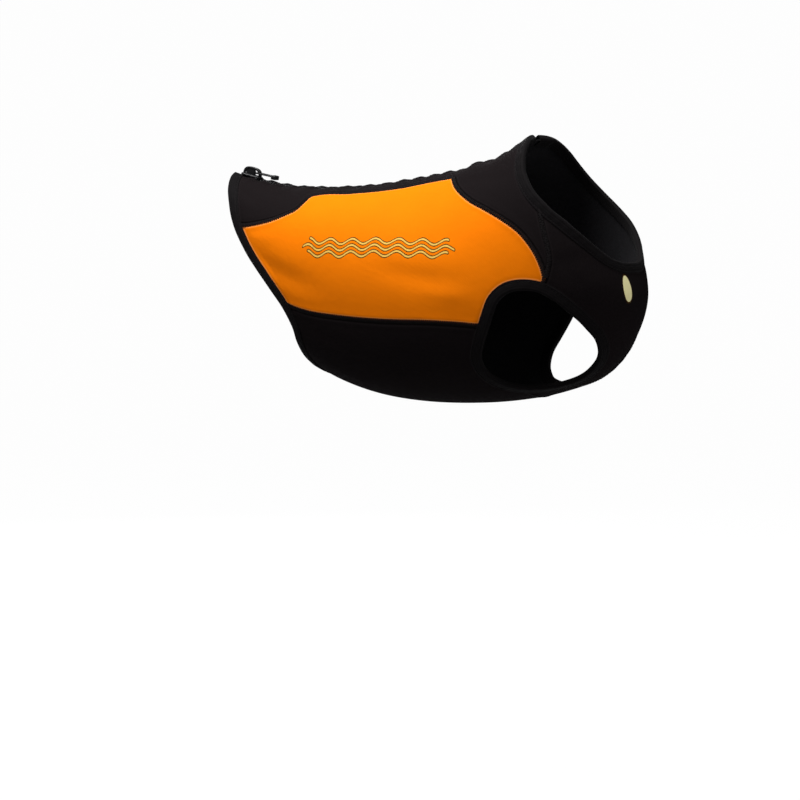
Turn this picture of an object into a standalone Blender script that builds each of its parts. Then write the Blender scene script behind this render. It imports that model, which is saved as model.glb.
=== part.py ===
"""Dog wetsuit: a sleeveless neoprene vest with a zip along the back, in the form that it has when worn.

+X runs to the head, +Y to the wearer's left and +Z up. The origin is on the inner face of the
back's centre line, at mid-back. Every place on the suit is given by a station and a turn: the
station runs from 0 at the hem to 1 at the neck, and the turn runs round the torso in degrees,
from 0 on the back's centre line over 90 on the right side to 180 on the belly.
"""

import bpy
import numpy as np
from mathutils import Matrix, Vector

MM = 0.001

# Cloth
WALL = 3.0 * MM
SEAM_GAP = 0.3 * MM

# Edge binding, folded round the panels' edges
BINDING_WIDTH = 9.0 * MM
BINDING_THICKNESS = 1.0 * MM
BINDING_GAP = 0.5 * MM
BINDING_BULGE = 0.4 * MM

# Zip, of the largest common size
ZIP_OPENING = 8.0 * MM
TAPE_INNER = 4.6 * MM
TAPE_MIDDLE = 10.0 * MM
TAPE_OUTER = 16.0 * MM
TAPE_THICKNESS = 1.2 * MM
TAPE_GAP = 0.5 * MM
TAPE_DROP = TAPE_THICKNESS + TAPE_GAP
CHAIN_HALF_WIDTH = 4.3 * MM
CHAIN_TOP = 1.9 * MM
CHAIN_START = 0.031
CHAIN_END = 0.968

# Slider, its bridge and its pull, in millimetres from the slider's own centre
SLIDER_STATION = 0.047
SLIDER_LENGTH = 22.0
SLIDER_REAR_HALF_WIDTH = 7.2
SLIDER_FRONT_HALF_WIDTH = 5.4
SLIDER_TOP = (2.3, 4.6)
SLIDER_BASE = (-4.4, -2.8)
SLIDER_BASE_SHARE = 0.85
SLIDER_POST_SPAN = (-10.4, -7.4)
SLIDER_POST_REACH = (-1.6, 1.6)
SLIDER_FLANGE_SPAN = (-9.0, 9.4)
SLIDER_FLANGE_REACH = (4.9, 5.3)
SLIDER_FLANGE_FOOT = 0.1
BRIDGE_HALF_WIDTH = 2.0
BRIDGE_REAR = -10.6
BRIDGE_FRONT = 10.4
BRIDGE_HEIGHT = 12.4
BRIDGE_BAND = 2.2
PULL_AXIS = (6.0, 7.6)
PULL_BAR_RADIUS = 1.0
PULL_THICKNESS = 1.6
PULL_WINDOW = 13.0
PULL_LENGTH = 24.0
PULL_END_LENGTH = 5.0
PULL_END_HEIGHTS = (-2.9, 1.2)
PULL_HALF_WIDTH = 4.2
PULL_WINDOW_HALF_WIDTH = 2.7
PULL_TILT = -4.0

# Stops beside the slider, measured from it, and the box at the zip's other end, in millimetres
STOP_SPAN = (-13.5, -11.5)
STOP_REACH = (4.8, 7.2)
STOP_HEIGHTS = (0.0, 1.8)
BOX_STATION = 0.985
BOX_LENGTH = 9.0
BOX_HALF_WIDTH = 5.6
BOX_HEIGHTS = (0.1, 3.0)

# Sections through the torso, each in a tilted plane, with its points on the cloth's inner face.
# Columns: station, back x, back z, belly x, belly z, half width, height share of the widest
# point below the back, fullness of the sides. Lengths are in millimetres.
SECTIONS = np.array([
    [0.00, -190, 8, -90, -181, 54, 0.50, 0.03],
    [0.10, -157, 0, -52, -197, 65, 0.50, 0.04],
    [0.20, -123, -5, -10, -208, 75, 0.50, 0.04],
    [0.30, -88, -6, 37, -213, 83, 0.50, 0.04],
    [0.40, -53, -5, 87, -213, 89, 0.50, 0.03],
    [0.50, -17, -2, 135, -209, 92, 0.50, 0.02],
    [0.60, 20, 3, 182, -200, 92, 0.50, 0.00],
    [0.70, 56, 9, 223, -184, 89, 0.48, 0.00],
    [0.80, 90, 17, 250, -155, 84, 0.46, 0.00],
    [0.90, 122, 27, 264, -116, 77, 0.46, 0.00],
    [1.00, 151, 43, 255, -76, 69, 0.50, 0.00],
])

# Puckers that the zip draws into the back. Columns: station, height in millimetres, length.
PUCKERS = np.array([
    [0.254, 0.6, 0.030],
    [0.317, -1.3, 0.028],
    [0.377, 0.9, 0.030],
    [0.430, -1.8, 0.030],
    [0.515, -0.8, 0.030],
    [0.765, -2.0, 0.025],
    [0.815, 1.6, 0.022],
    [0.875, -1.8, 0.024],
])
PUCKER_REACH = 24 * MM

# The garment's open edges. Columns: turn, station.
HEM_EDGE = np.array([
    [0, 0.000],
    [45, 0.010],
    [65, 0.010],
    [80, 0.030],
    [92, 0.062],
    [104, 0.088],
    [116, 0.086],
    [130, 0.058],
    [145, 0.034],
    [160, 0.028],
    [180, 0.028],
])
NECK_EDGE = np.array([
    [0, 1.008],
    [25, 1.018],
    [42, 1.006],
    [60, 0.986],
    [75, 0.980],
    [90, 0.986],
    [110, 1.000],
    [130, 1.002],
    [150, 0.994],
    [180, 0.998],
])

# The right armhole, once round. Columns: station, turn.
ARMHOLE = np.array([
    [0.630, 113.8],
    [0.660, 109.2],
    [0.695, 105.2],
    [0.730, 104.6],
    [0.766, 107.6],
    [0.798, 114.4],
    [0.809, 121.5],
    [0.812, 131.0],
    [0.807, 143.0],
    [0.792, 154.0],
    [0.762, 162.0],
    [0.715, 165.5],
    [0.660, 165.5],
    [0.610, 162.5],
    [0.570, 157.0],
    [0.545, 149.0],
    [0.538, 140.0],
    [0.550, 130.5],
    [0.586, 121.4],
])
ARMHOLE_MIDDLE = (0.68, 135.0)

# Seams on the right side. Columns: station, turn.
SADDLE_SEAM = np.array([
    [0.010, 60.0],
    [0.050, 58.0],
    [0.102, 53.8],
    [0.172, 47.8],
    [0.233, 41.5],
    [0.270, 37.0],
    [0.293, 30.0],
    [0.309, 24.0],
    [0.335, 21.8],
    [0.435, 22.0],
    [0.583, 23.6],
    [0.700, 24.0],
    [0.760, 26.5],
])
FRONT_SEAM = np.array([
    [0.760, 26.5],
    [0.773, 41.0],
    [0.798, 54.0],
    [0.830, 65.5],
    [0.857, 78.0],
    [0.871, 90.0],
    [0.866, 100.5],
    [0.851, 108.0],
    [0.833, 113.0],
])
SHOULDER_SEAM = np.array([
    [0.833, 113.0],
    [0.875, 109.0],
    [0.925, 98.0],
    [0.981, 84.0],
])
FLANK_SEAM = np.array([
    [0.088, 102.0],
    [0.165, 102.2],
    [0.268, 102.0],
    [0.400, 103.4],
    [0.515, 106.0],
    [0.575, 109.0],
    [0.630, 113.8],
])
NOTCH = (0.798, 114.4)
STRIP_TOP = (0.762, 162.0)
STRIP_END = (0.560, 154.6)

# Cells of the panels along each seam and edge
SADDLE_CELLS = 22
NAPE_CELLS = 10
NECK_CELLS = 10
SHOULDER_CELLS = 8
SIDE_CELLS_ACROSS = 10
FLANK_CELLS = 20
ARMPIT_CELLS = 10
STRIP_CELLS_ACROSS = 6
STRIP_CELLS_ALONG = 8
ARM_FRONT_CELLS = 12
ZIP_CROWDING = 1.3

BLACK_CLOTH = (0.012, 0.012, 0.014, 1.0)
ORANGE_CLOTH = (0.90, 0.24, 0.012, 1.0)
BLACK_BINDING = (0.008, 0.008, 0.009, 1.0)
BLACK_TAPE = (0.010, 0.010, 0.011, 1.0)
BLACK_PLASTIC = (0.006, 0.006, 0.007, 1.0)
BLACK_METAL = (0.020, 0.020, 0.022, 1.0)


def clear_scene():
    for scene_object in list(bpy.data.objects):
        bpy.data.objects.remove(scene_object, do_unlink=True)


def make_material(name, colour, roughness, metallic=0.0):
    material = bpy.data.materials.new(name)
    material.use_nodes = True
    shader = material.node_tree.nodes["Principled BSDF"]
    shader.inputs["Base Color"].default_value = colour
    shader.inputs["Roughness"].default_value = roughness
    shader.inputs["Metallic"].default_value = metallic
    return material


def smooth_rows(table, at):
    """Reads a table at any value of its first column, along a smooth curve through its rows."""
    place = np.clip(np.asarray(at, float), table[0, 0] - 0.05, table[-1, 0] + 0.05)
    keys = table[:, 0]
    values = table[:, 1:]
    slopes = np.gradient(values, keys, axis=0)
    row = np.clip(np.searchsorted(keys, place, side="right") - 1, 0, len(keys) - 2)
    span = keys[row + 1] - keys[row]
    part = ((place - keys[row]) / span)[..., None]
    span = span[..., None]
    start = (2 * part**3 - 3 * part**2 + 1) * values[row]
    leave = (part**3 - 2 * part**2 + part) * span * slopes[row]
    end = (-2 * part**3 + 3 * part**2) * values[row + 1]
    arrive = (part**3 - part**2) * span * slopes[row + 1]
    return start + leave + end + arrive


def torso(station, turn):
    """Point on the cloth's inner face."""
    station, turn = np.broadcast_arrays(np.asarray(station, float), np.asarray(turn, float))
    columns = np.moveaxis(smooth_rows(SECTIONS, station), -1, 0)
    back_x, back_z, belly_x, belly_z, half, widest, fullness = columns
    angle = np.radians(turn)
    toward_back = np.cos(angle)
    upper = widest * (1 - toward_back)
    lower = widest - (1 - widest) * toward_back
    down = np.where(toward_back > 0, upper, lower)
    across = half * (np.sin(angle) + fullness * np.sin(3 * angle)) / (1 - fullness)
    near_zip = np.exp(-((across * MM / PUCKER_REACH) ** 2)) * (toward_back > 0)
    lift = sum(height * np.exp(-(((station - at) / length) ** 2)) for at, height, length in PUCKERS)
    x = back_x + down * (belly_x - back_x)
    z = back_z + down * (belly_z - back_z) + lift * near_zip
    return np.stack([x, -across, z], -1) * MM


def slopes_at(station, turn):
    """How the torso's point moves for one unit of station and for one degree of turn."""
    small_station = 0.001
    small_turn = 0.1
    along = torso(station + small_station, turn) - torso(station - small_station, turn)
    round_ = torso(station, turn + small_turn) - torso(station, turn - small_turn)
    return along / (2 * small_station), round_ / (2 * small_turn)


def unit(vectors):
    return vectors / np.linalg.norm(vectors, axis=-1, keepdims=True)


def outward(station, turn):
    along, round_ = slopes_at(station, turn)
    return unit(np.cross(round_, along))


def cloth(station, turn, height):
    """Point at this height above the cloth's inner face."""
    height = np.asarray(height, float)
    return torso(station, turn) + outward(station, turn) * height[..., None]


def turn_at(station, reach):
    """Turn at which the back is this far to the right of its centre line."""
    columns = np.moveaxis(smooth_rows(SECTIONS, station), -1, 0)
    half = columns[4] * MM
    fullness = columns[6]
    return np.degrees(np.arcsin(reach * (1 - fullness) / (half * (1 + 3 * fullness))))


def hem_point(turn):
    """Station and turn of the hem's edge."""
    turn = np.asarray(turn, float)
    folded = np.where(turn > 180, 360 - turn, turn)
    return np.stack([smooth_rows(HEM_EDGE, folded)[..., 0], turn], -1)


def neck_point(turn):
    """Station and turn of the neck's edge."""
    turn = np.asarray(turn, float)
    folded = np.where(turn > 180, 360 - turn, turn)
    return np.stack([smooth_rows(NECK_EDGE, folded)[..., 0], turn], -1)


def curve_through(rows, steps=16):
    """A dense smooth path through rows of station and turn."""
    rows = np.asarray(rows, float)
    scaled = rows * [0.35, 0.0014]
    lengths = np.linalg.norm(np.diff(scaled, axis=0), axis=1)
    at = np.concatenate([[0], np.cumsum(lengths)])
    table = np.column_stack([at, rows])
    return smooth_rows(table, np.linspace(0, at[-1], steps * (len(rows) - 1) + 1))


def ring_through(rows, steps=16):
    """A dense smooth closed path through rows of station and turn, its first point not repeated."""
    rows = np.asarray(rows, float)
    turns = 3
    path = curve_through(np.concatenate([rows[-turns:], rows, rows[: turns + 1]]), steps)
    start = np.argmin(np.abs(path - rows[0]).sum(axis=1)[: 2 * turns * steps])
    after = path[start + steps * turns :]
    length = start + steps * turns + np.argmin(np.abs(after - rows[0]).sum(axis=1))
    return path[start:length]


def lengths_along(path):
    points = torso(path[:, 0], path[:, 1])
    steps = np.linalg.norm(np.diff(points, axis=0), axis=1)
    return np.concatenate([[0], np.cumsum(steps)])


def spread(path, cells):
    """The path as this many equal steps, measured on the cloth."""
    at = lengths_along(path)
    places = np.linspace(0, at[-1], cells + 1)
    return np.stack([np.interp(places, at, path[:, k]) for k in range(2)], -1)


def part_of_ring(ring, start, end):
    """The stretch of a closed path from the point nearest one place to the point nearest another."""
    scaled = ring * [0.35, 0.0014]
    first = np.argmin(np.linalg.norm(scaled - np.array(start) * [0.35, 0.0014], axis=1))
    last = np.argmin(np.linalg.norm(scaled - np.array(end) * [0.35, 0.0014], axis=1))
    if last <= first:
        last += len(ring)
    stretch = ring[np.arange(first, last + 1) % len(ring)].copy()
    stretch[0] = start
    stretch[-1] = end
    return stretch


def across_belly(path):
    """The same path on the left side, with its turn counted on past the belly."""
    return np.stack([path[:, 0], 360 - path[:, 1]], -1)


def join(*paths):
    """Paths end to end, with each shared point kept once."""
    return np.concatenate([paths[0]] + [path[1:] for path in paths[1:]])


def patch(low, high, start, end, crowding=1.0):
    """A grid of stations and turns between four edges: low and high run from start to end."""
    u = np.linspace(0, 1, len(low))[:, None, None]
    v = np.linspace(0, 1, len(start))[None, :, None] ** crowding
    ruled_up = (1 - v) * low[:, None] + v * high[:, None]
    ruled_along = (1 - u) * start[None] + u * end[None]
    corners_start = (1 - v) * low[0] + v * high[0]
    corners_end = (1 - v) * low[-1] + v * high[-1]
    return ruled_up + ruled_along - ((1 - u) * corners_start + u * corners_end)


def cells_of(*grids):
    """Places and four-cornered cells of one or more grids that meet in the same points."""
    numbers = {}
    places = []
    cells = []
    for grid in grids:
        index = np.empty(grid.shape[:2], int)
        for i in range(grid.shape[0]):
            for j in range(grid.shape[1]):
                key = (round(grid[i, j, 0], 6), round(grid[i, j, 1], 4))
                if key not in numbers:
                    numbers[key] = len(places)
                    places.append(grid[i, j])
                index[i, j] = numbers[key]
        for i in range(grid.shape[0] - 1):
            for j in range(grid.shape[1] - 1):
                corners = [index[i, j], index[i + 1, j], index[i + 1, j + 1], index[i, j + 1]]
                cells.append([int(corner) for corner in corners])
    return np.array(places), cells


def facing_out(points, normals, cells):
    """The cells, all turned so that they run anticlockwise seen from outside."""
    total = 0.0
    for a, b, c, d in cells:
        total += np.dot(np.cross(points[c] - points[a], points[d] - points[b]), normals[a])
    return cells if total > 0 else [cell[::-1] for cell in cells]


def rim_of(cells):
    """Next point and point before along the rim, for each point on it."""
    sides = set()
    for cell in cells:
        for a, b in zip(cell, cell[1:] + cell[:1]):
            sides.add((a, b))
    after = {a: b for a, b in sides if (b, a) not in sides}
    before = {b: a for a, b in after.items()}
    return after, before


def inset_rim(points, normals, cells, gap):
    """The points, with those on the rim moved into the cloth by this gap."""
    moved = points.copy()
    after, before = rim_of(cells)
    for here in after:
        arriving = unit(points[here] - points[before[here]])
        leaving = unit(points[after[here]] - points[here])
        inward_a = unit(np.cross(normals[here], arriving))
        inward_b = unit(np.cross(normals[here], leaving))
        moved[here] += gap * (inward_a + inward_b) / (1 + np.dot(inward_a, inward_b))
    return moved, after


def turned_out(points, faces):
    """The faces of a closed shape, all reversed if they enclose a negative volume."""
    points = np.asarray(points, float)
    volume = 0.0
    for face in faces:
        for b, c in zip(face[1:-1], face[2:]):
            volume += np.dot(points[face[0]], np.cross(points[b], points[c]))
    return faces if volume > 0 else [tuple(reversed(face)) for face in faces]


def from_shorter_diagonal(points, face):
    """A four-cornered face, started at a corner from which it is split along its shorter diagonal."""
    if len(face) != 4:
        return face
    corners = [Vector(points[corner]) for corner in face]
    across = (corners[0] - corners[2]).length
    other = (corners[1] - corners[3]).length
    return face if across <= other else face[1:] + face[:1]


def mesh_object(name, points, faces, material):
    mesh = bpy.data.meshes.new(name)
    faces = [from_shorter_diagonal(points, face) for face in faces]
    mesh.from_pydata([tuple(float(v) for v in point) for point in points], [], faces)
    mesh.materials.append(material)
    mesh.shade_smooth()
    mesh.set_sharp_from_angle(angle=np.radians(40))
    thing = bpy.data.objects.new(name, mesh)
    bpy.context.scene.collection.objects.link(thing)
    return thing


def make_wall(name, grids, material, low=0.0, high=WALL):
    """A closed wall of cloth over one or more grids, between two heights above the inner face."""
    places, cells = cells_of(*grids)
    points = torso(places[:, 0], places[:, 1])
    normals = outward(places[:, 0], places[:, 1])
    cells = facing_out(points, normals, cells)
    points, after = inset_rim(points, normals, cells, SEAM_GAP / 2)
    count = len(points)
    inner = points + normals * low
    outer = points + normals * high
    faces = [tuple(cell) for cell in cells]
    faces += [tuple(corner + count for corner in reversed(cell)) for cell in cells]
    faces += [(b, a, a + count, b + count) for a, b in after.items()]
    return mesh_object(name, np.concatenate([outer, inner]), faces, material)


def mirrored(grid):
    """The same places on the left side."""
    return grid * [1, -1]


def binding_section(drop):
    """The folded strip's outline: distance in from the cloth's edge, and height. Drop lowers its inner leg."""
    top = WALL + BINDING_GAP
    bottom = -BINDING_GAP - drop
    thick = BINDING_THICKNESS
    fold = SEAM_GAP / 2
    return [
        (BINDING_WIDTH, top),
        (BINDING_WIDTH, top + thick),
        (-0.5 * thick, top + thick),
        (-fold - thick - BINDING_BULGE, 0.8 * WALL),
        (-fold - thick - BINDING_BULGE, 0.2 * WALL - drop),
        (-0.5 * thick, bottom - thick),
        (BINDING_WIDTH, bottom - thick),
        (BINDING_WIDTH, bottom),
        (-fold, bottom),
        (-fold, top),
    ]


def zip_drop(reach):
    """How far the binding's inner leg goes down to pass under the zip's tape."""
    clear = np.clip((abs(reach) - TAPE_OUTER - 4 * MM) / (6 * MM), 0, 1)
    return TAPE_DROP * (1 - clear * clear * (3 - 2 * clear))


def beside_zip(place):
    """The place, moved out to the zip's opening where it would lie over it."""
    station, turn = place
    opening = turn_at(station, ZIP_OPENING)
    if turn < 180:
        return station, max(turn, opening) if turn >= 0 else min(turn, -opening)
    return station, min(turn, 360 - opening)


def make_binding(name, path, closed, away_from, material):
    """A strip folded round an edge. Its inner direction leads away from the given station and turn."""
    station, turn = path[:, 0], path[:, 1]
    points = torso(station, turn)
    normals = outward(station, turn)
    if closed:
        forward = np.roll(points, -1, axis=0) - np.roll(points, 1, axis=0)
    else:
        forward = np.gradient(points, axis=0)
    inward = unit(np.cross(normals, unit(forward)))
    along, round_ = slopes_at(station, turn)
    moves = np.stack([
        np.linalg.lstsq(np.stack([a, b], -1), c, rcond=None)[0] for a, b, c in zip(along, round_, inward)
    ])
    from_there = (path - np.array(away_from)) * [1, 1 / 300]
    if (moves * [1, 1 / 300] * from_there).sum() < 0:
        inward = -inward
        moves = -moves
    rings = []
    for k in range(len(path)):
        drop = zip_drop(points[k, 1]) if np.cos(np.radians(turn[k])) > 0 and not closed else 0.0
        ring = []
        for distance, height in binding_section(drop):
            if distance > 0:
                place = beside_zip(path[k] + moves[k] * distance)
                ring.append(cloth(place[0], place[1], height))
            else:
                ring.append(points[k] + inward[k] * distance + normals[k] * height)
        rings.append(ring)
    size = len(rings[0])
    count = len(rings)
    faces = []
    for k in range(count if closed else count - 1):
        after = (k + 1) % count
        for j in range(size):
            side = (j + 1) % size
            faces.append((k * size + j, k * size + side, after * size + side, after * size + j))
    if not closed:
        faces += [cell[::-1] for cell in end_cap(0)]
        faces += end_cap((count - 1) * size)
    points = np.concatenate(rings)
    return mesh_object(name, points, turned_out(points, faces), material)


def end_cap(first):
    """Cells that close the end of a folded strip: its outline's outer points pair with its inner ones."""
    at = range(first, first + 10)
    return [
        (at[0], at[1], at[2], at[9]),
        (at[9], at[2], at[3], at[4], at[5], at[8]),
        (at[8], at[5], at[6], at[7]),
    ]


def cut_lines():
    """Every seam and edge of the right side, as stations and turns."""
    ring = ring_through(ARMHOLE)
    lines = {
        "saddle": spread(curve_through(SADDLE_SEAM), SADDLE_CELLS),
        "front": spread(curve_through(FRONT_SEAM), NAPE_CELLS + NECK_CELLS),
        "shoulder": spread(curve_through(SHOULDER_SEAM), SHOULDER_CELLS),
        "flank": spread(curve_through(FLANK_SEAM), FLANK_CELLS),
        "over arm": spread(part_of_ring(ring, FLANK_SEAM[-1], NOTCH), SIDE_CELLS_ACROSS),
        "arm front": spread(part_of_ring(ring, NOTCH, STRIP_TOP), ARM_FRONT_CELLS),
        "strip side": spread(part_of_ring(ring, STRIP_TOP, STRIP_END), STRIP_CELLS_ALONG),
        "armpit": spread(part_of_ring(ring, STRIP_END, FLANK_SEAM[-1]), ARMPIT_CELLS),
        "notch": np.array([FRONT_SEAM[-1], NOTCH]),
        "strip top": level_line(STRIP_TOP, STRIP_CELLS_ACROSS),
        "strip end": level_line(STRIP_END, STRIP_CELLS_ACROSS),
    }
    lines["saddle"][0] = hem_point(SADDLE_SEAM[0, 1])
    lines["flank"][0] = hem_point(FLANK_SEAM[0, 1])
    lines["shoulder"][-1] = neck_point(SHOULDER_SEAM[-1, 1])
    hem_start = hem_point(turn_at(0.0, ZIP_OPENING))[0]
    neck_start = neck_point(turn_at(1.0, ZIP_OPENING))[0]
    corner = SADDLE_SEAM[-1, 0]
    rear = np.linspace(hem_start, corner, SADDLE_CELLS + 1)
    nape = np.linspace(corner, neck_start, NAPE_CELLS + 1)
    stations = np.concatenate([rear, nape[1:]])
    lines["zip"] = np.stack([stations, turn_at(stations, ZIP_OPENING)], -1)
    crowded = np.linspace(0, 1, SHOULDER_CELLS + 1) ** ZIP_CROWDING
    first, last = lines["zip"][0, 1], lines["saddle"][0, 1]
    lines["yoke hem"] = hem_point(first + crowded * (last - first))
    turns = np.linspace(lines["zip"][-1, 1], lines["shoulder"][-1, 1], NECK_CELLS + 1)
    lines["yoke neck"] = neck_point(turns)
    turns = np.linspace(lines["saddle"][0, 1], lines["flank"][0, 1], SIDE_CELLS_ACROSS + 1)
    lines["side hem"] = hem_point(turns)
    belly_cells = 2 * ARMPIT_CELLS + STRIP_CELLS_ACROSS
    first = lines["flank"][0, 1]
    lines["belly hem"] = hem_point(np.linspace(first, 360 - first, belly_cells + 1))
    bib_cells = 2 * ARM_FRONT_CELLS + STRIP_CELLS_ACROSS
    first = lines["shoulder"][-1, 1]
    lines["bib neck"] = neck_point(np.linspace(first, 360 - first, bib_cells + 1))
    return lines


def level_line(right_end, cells):
    """A line straight across the belly from a place on the right to the same place on the left."""
    left_end = (right_end[0], 360 - right_end[1])
    return np.linspace(right_end, left_end, cells + 1)


def make_yokes(lines, material):
    """The back pieces, from the hem along the zip to the neck and out to the shoulders."""
    zip_and_neck = join(lines["zip"], lines["yoke neck"])
    seam = join(lines["saddle"], lines["front"])
    yoke = patch(zip_and_neck, seam, lines["yoke hem"], lines["shoulder"][::-1], ZIP_CROWDING)
    make_wall("back_yoke_right", [yoke], material)
    make_wall("back_yoke_left", [mirrored(yoke)], material)


def make_sides(lines, material):
    """The flank pieces, between the saddle and flank seams, cut out round the top of the armholes."""
    top = join(lines["saddle"], lines["front"], lines["notch"])
    bottom = spread(lines["flank"], len(top) - 1)
    side = patch(bottom, top, lines["side hem"][::-1], lines["over arm"])
    make_wall("side_panel_right", [side], material)
    make_wall("side_panel_left", [mirrored(side)], material)


def make_belly(lines, material):
    """One piece from flank seam to flank seam under the belly, from the hem to between the legs."""
    armpit = lines["armpit"][::-1]
    front = join(armpit, lines["strip end"], across_belly(armpit)[::-1])
    belly = patch(lines["flank"], across_belly(lines["flank"]), lines["belly hem"], front)
    make_wall("belly_panel", [belly], material)


def make_chest(lines, material):
    """One piece across the chest, from shoulder seam to shoulder seam, and back between the legs."""
    arm_front = lines["arm front"]
    low = join(arm_front, lines["strip top"], across_belly(arm_front)[::-1])
    end = join(lines["shoulder"][::-1], lines["notch"])
    bib = patch(lines["bib neck"], low, end, across_belly(end))
    side = lines["strip side"]
    strip = patch(lines["strip top"], lines["strip end"], side, across_belly(side))
    make_wall("chest_panel", [bib, strip], material)


def make_bindings(lines, material):
    """The folded strips round the hem, the neck and both armholes."""
    half = join(lines["yoke hem"], lines["side hem"])
    hem = join(half, lines["belly hem"], across_belly(half)[::-1])
    make_binding("hem_binding", hem, False, (-10, 180), material)
    half = lines["yoke neck"]
    neck = join(half, lines["bib neck"], across_belly(half)[::-1])
    make_binding("neck_binding", neck, False, (10, 180), material)
    ring = join(lines["over arm"], lines["arm front"], lines["strip side"], lines["armpit"])[:-1]
    make_binding("armhole_binding_right", ring, True, ARMHOLE_MIDDLE, material)
    left_middle = (ARMHOLE_MIDDLE[0], -ARMHOLE_MIDDLE[1])
    make_binding("armhole_binding_left", mirrored(ring), True, left_middle, material)


def make_tapes(stations, material):
    """The zip's two woven tapes, under the yokes' edges."""
    columns = []
    for reach in (TAPE_INNER, TAPE_MIDDLE, TAPE_OUTER):
        column = np.stack([stations, turn_at(stations, reach)], -1)
        column[0] = hem_point(column[0, 1])
        column[-1] = neck_point(column[-1, 1])
        columns.append(column)
    grid = np.stack(columns, 1)
    make_wall("zip_tape_right", [grid], material, -TAPE_DROP, -TAPE_GAP)
    make_wall("zip_tape_left", [mirrored(grid)], material, -TAPE_DROP, -TAPE_GAP)


def make_chain(stations, material):
    """The closed row of teeth between the tapes, as one bar."""
    inside = stations[(stations > CHAIN_START) & (stations < CHAIN_END)]
    stations = np.concatenate([[CHAIN_START], inside, [CHAIN_END]])
    columns = [
        np.stack([stations, side * turn_at(stations, CHAIN_HALF_WIDTH)], -1) for side in (-1, 1)
    ]
    make_wall("zip_chain", [np.stack(columns, 1)], material, -TAPE_DROP, CHAIN_TOP)


def zip_frame(station):
    """Matrix of a hard piece that sits on the zip: x along it, z up from the cloth's inner face."""
    along, _ = slopes_at(station, 0.0)
    x_axis = Vector(unit(along))
    z_axis = Vector(outward(station, 0.0))
    y_axis = z_axis.cross(x_axis)
    matrix = Matrix((x_axis, y_axis, z_axis)).transposed().to_4x4()
    matrix.translation = Vector(torso(station, 0.0))
    return matrix


def prism(outline, low, high, axis):
    """Points and faces of an outline in millimetres, drawn out between two values along an axis."""
    count = len(outline)
    points = []
    for level in (low, high):
        for a, b in outline:
            point = {"z": (a, b, level), "y": (a, level, b)}[axis]
            points.append(tuple(value * MM for value in point))
    faces = [tuple(range(count)), tuple(range(2 * count - 1, count - 1, -1))]
    faces += [((k + 1) % count, k, k + count, (k + 1) % count + count) for k in range(count)]
    return points, turned_out(points, faces)


def solid(name, shapes, material, matrix):
    """One object from several closed shapes that don't touch."""
    points = []
    faces = []
    for shape_points, shape_faces in shapes:
        start = len(points)
        points += shape_points
        faces += [tuple(index + start for index in face) for face in shape_faces]
    thing = mesh_object(name, points, faces, material)
    thing.matrix_world = matrix
    return thing


def block(x_range, y_range, z_range):
    outline = [(x, y) for x, y in (
        (x_range[0], y_range[0]), (x_range[1], y_range[0]),
        (x_range[1], y_range[1]), (x_range[0], y_range[1]),
    )]
    return prism(outline, z_range[0], z_range[1], "z")


def unite(thing, helper):
    helper.hide_render = True
    helper.display_type = "WIRE"
    union = thing.modifiers.new("join " + helper.name, "BOOLEAN")
    union.operation = "UNION"
    union.solver = "EXACT"
    union.object = helper


def slider_outline():
    """The slider's plate seen from above: wide at its mouth towards the hem, narrow at its other end."""
    rear = -SLIDER_LENGTH / 2
    front = SLIDER_LENGTH / 2
    wide = SLIDER_REAR_HALF_WIDTH
    narrow = SLIDER_FRONT_HALF_WIDTH
    half = [
        (rear, 0.55 * wide),
        (0.86 * rear, 0.88 * wide),
        (0.62 * rear, wide),
        (0.20 * rear, 0.93 * wide),
        (0.50 * front, narrow),
        (0.86 * front, 0.94 * narrow),
        (front, 0.62 * narrow),
    ]
    return half + [(x, -y) for x, y in reversed(half)]


def arch(rear, front, foot, height, steps=10):
    """Upper points of the bridge's outline, from its rear foot to its front foot."""
    middle = (rear + front) / 2
    reach = (front - rear) / 2
    points = []
    for k in range(steps + 1):
        angle = np.pi * (1 - k / steps)
        flat = np.sign(np.cos(angle)) * abs(np.cos(angle)) ** 0.7
        points.append((middle + reach * flat, foot + (height - foot) * np.sin(angle) ** 0.7))
    return points


def make_slider(material):
    matrix = zip_frame(SLIDER_STATION)
    slider = solid("zip_slider", [prism(slider_outline(), *SLIDER_TOP, "z")], material, matrix)
    foot = SLIDER_TOP[1] - 0.5
    outer = arch(BRIDGE_REAR, BRIDGE_FRONT, foot, BRIDGE_HEIGHT)
    inner = arch(BRIDGE_REAR + BRIDGE_BAND, BRIDGE_FRONT - BRIDGE_BAND, foot, BRIDGE_HEIGHT - BRIDGE_BAND)
    bridge = prism(outer + inner[::-1], -BRIDGE_HALF_WIDTH, BRIDGE_HALF_WIDTH, "y")
    neck = block(SLIDER_POST_SPAN, SLIDER_POST_REACH, (SLIDER_BASE[0] + 0.5, 0.5 * sum(SLIDER_TOP)))
    flange_heights = (SLIDER_FLANGE_FOOT, SLIDER_TOP[0] + 0.8)
    flanges = [
        block(SLIDER_FLANGE_SPAN, sorted(side * reach for reach in SLIDER_FLANGE_REACH), flange_heights)
        for side in (-1, 1)
    ]
    upper = solid("zip_slider_upper", [bridge, neck] + flanges, material, matrix)
    base = [(SLIDER_BASE_SHARE * x, SLIDER_BASE_SHARE * y) for x, y in slider_outline()]
    lower = solid("zip_slider_lower", [prism(base, *SLIDER_BASE, "z")], material, matrix)
    unite(slider, upper)
    unite(slider, lower)
    return matrix


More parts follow.
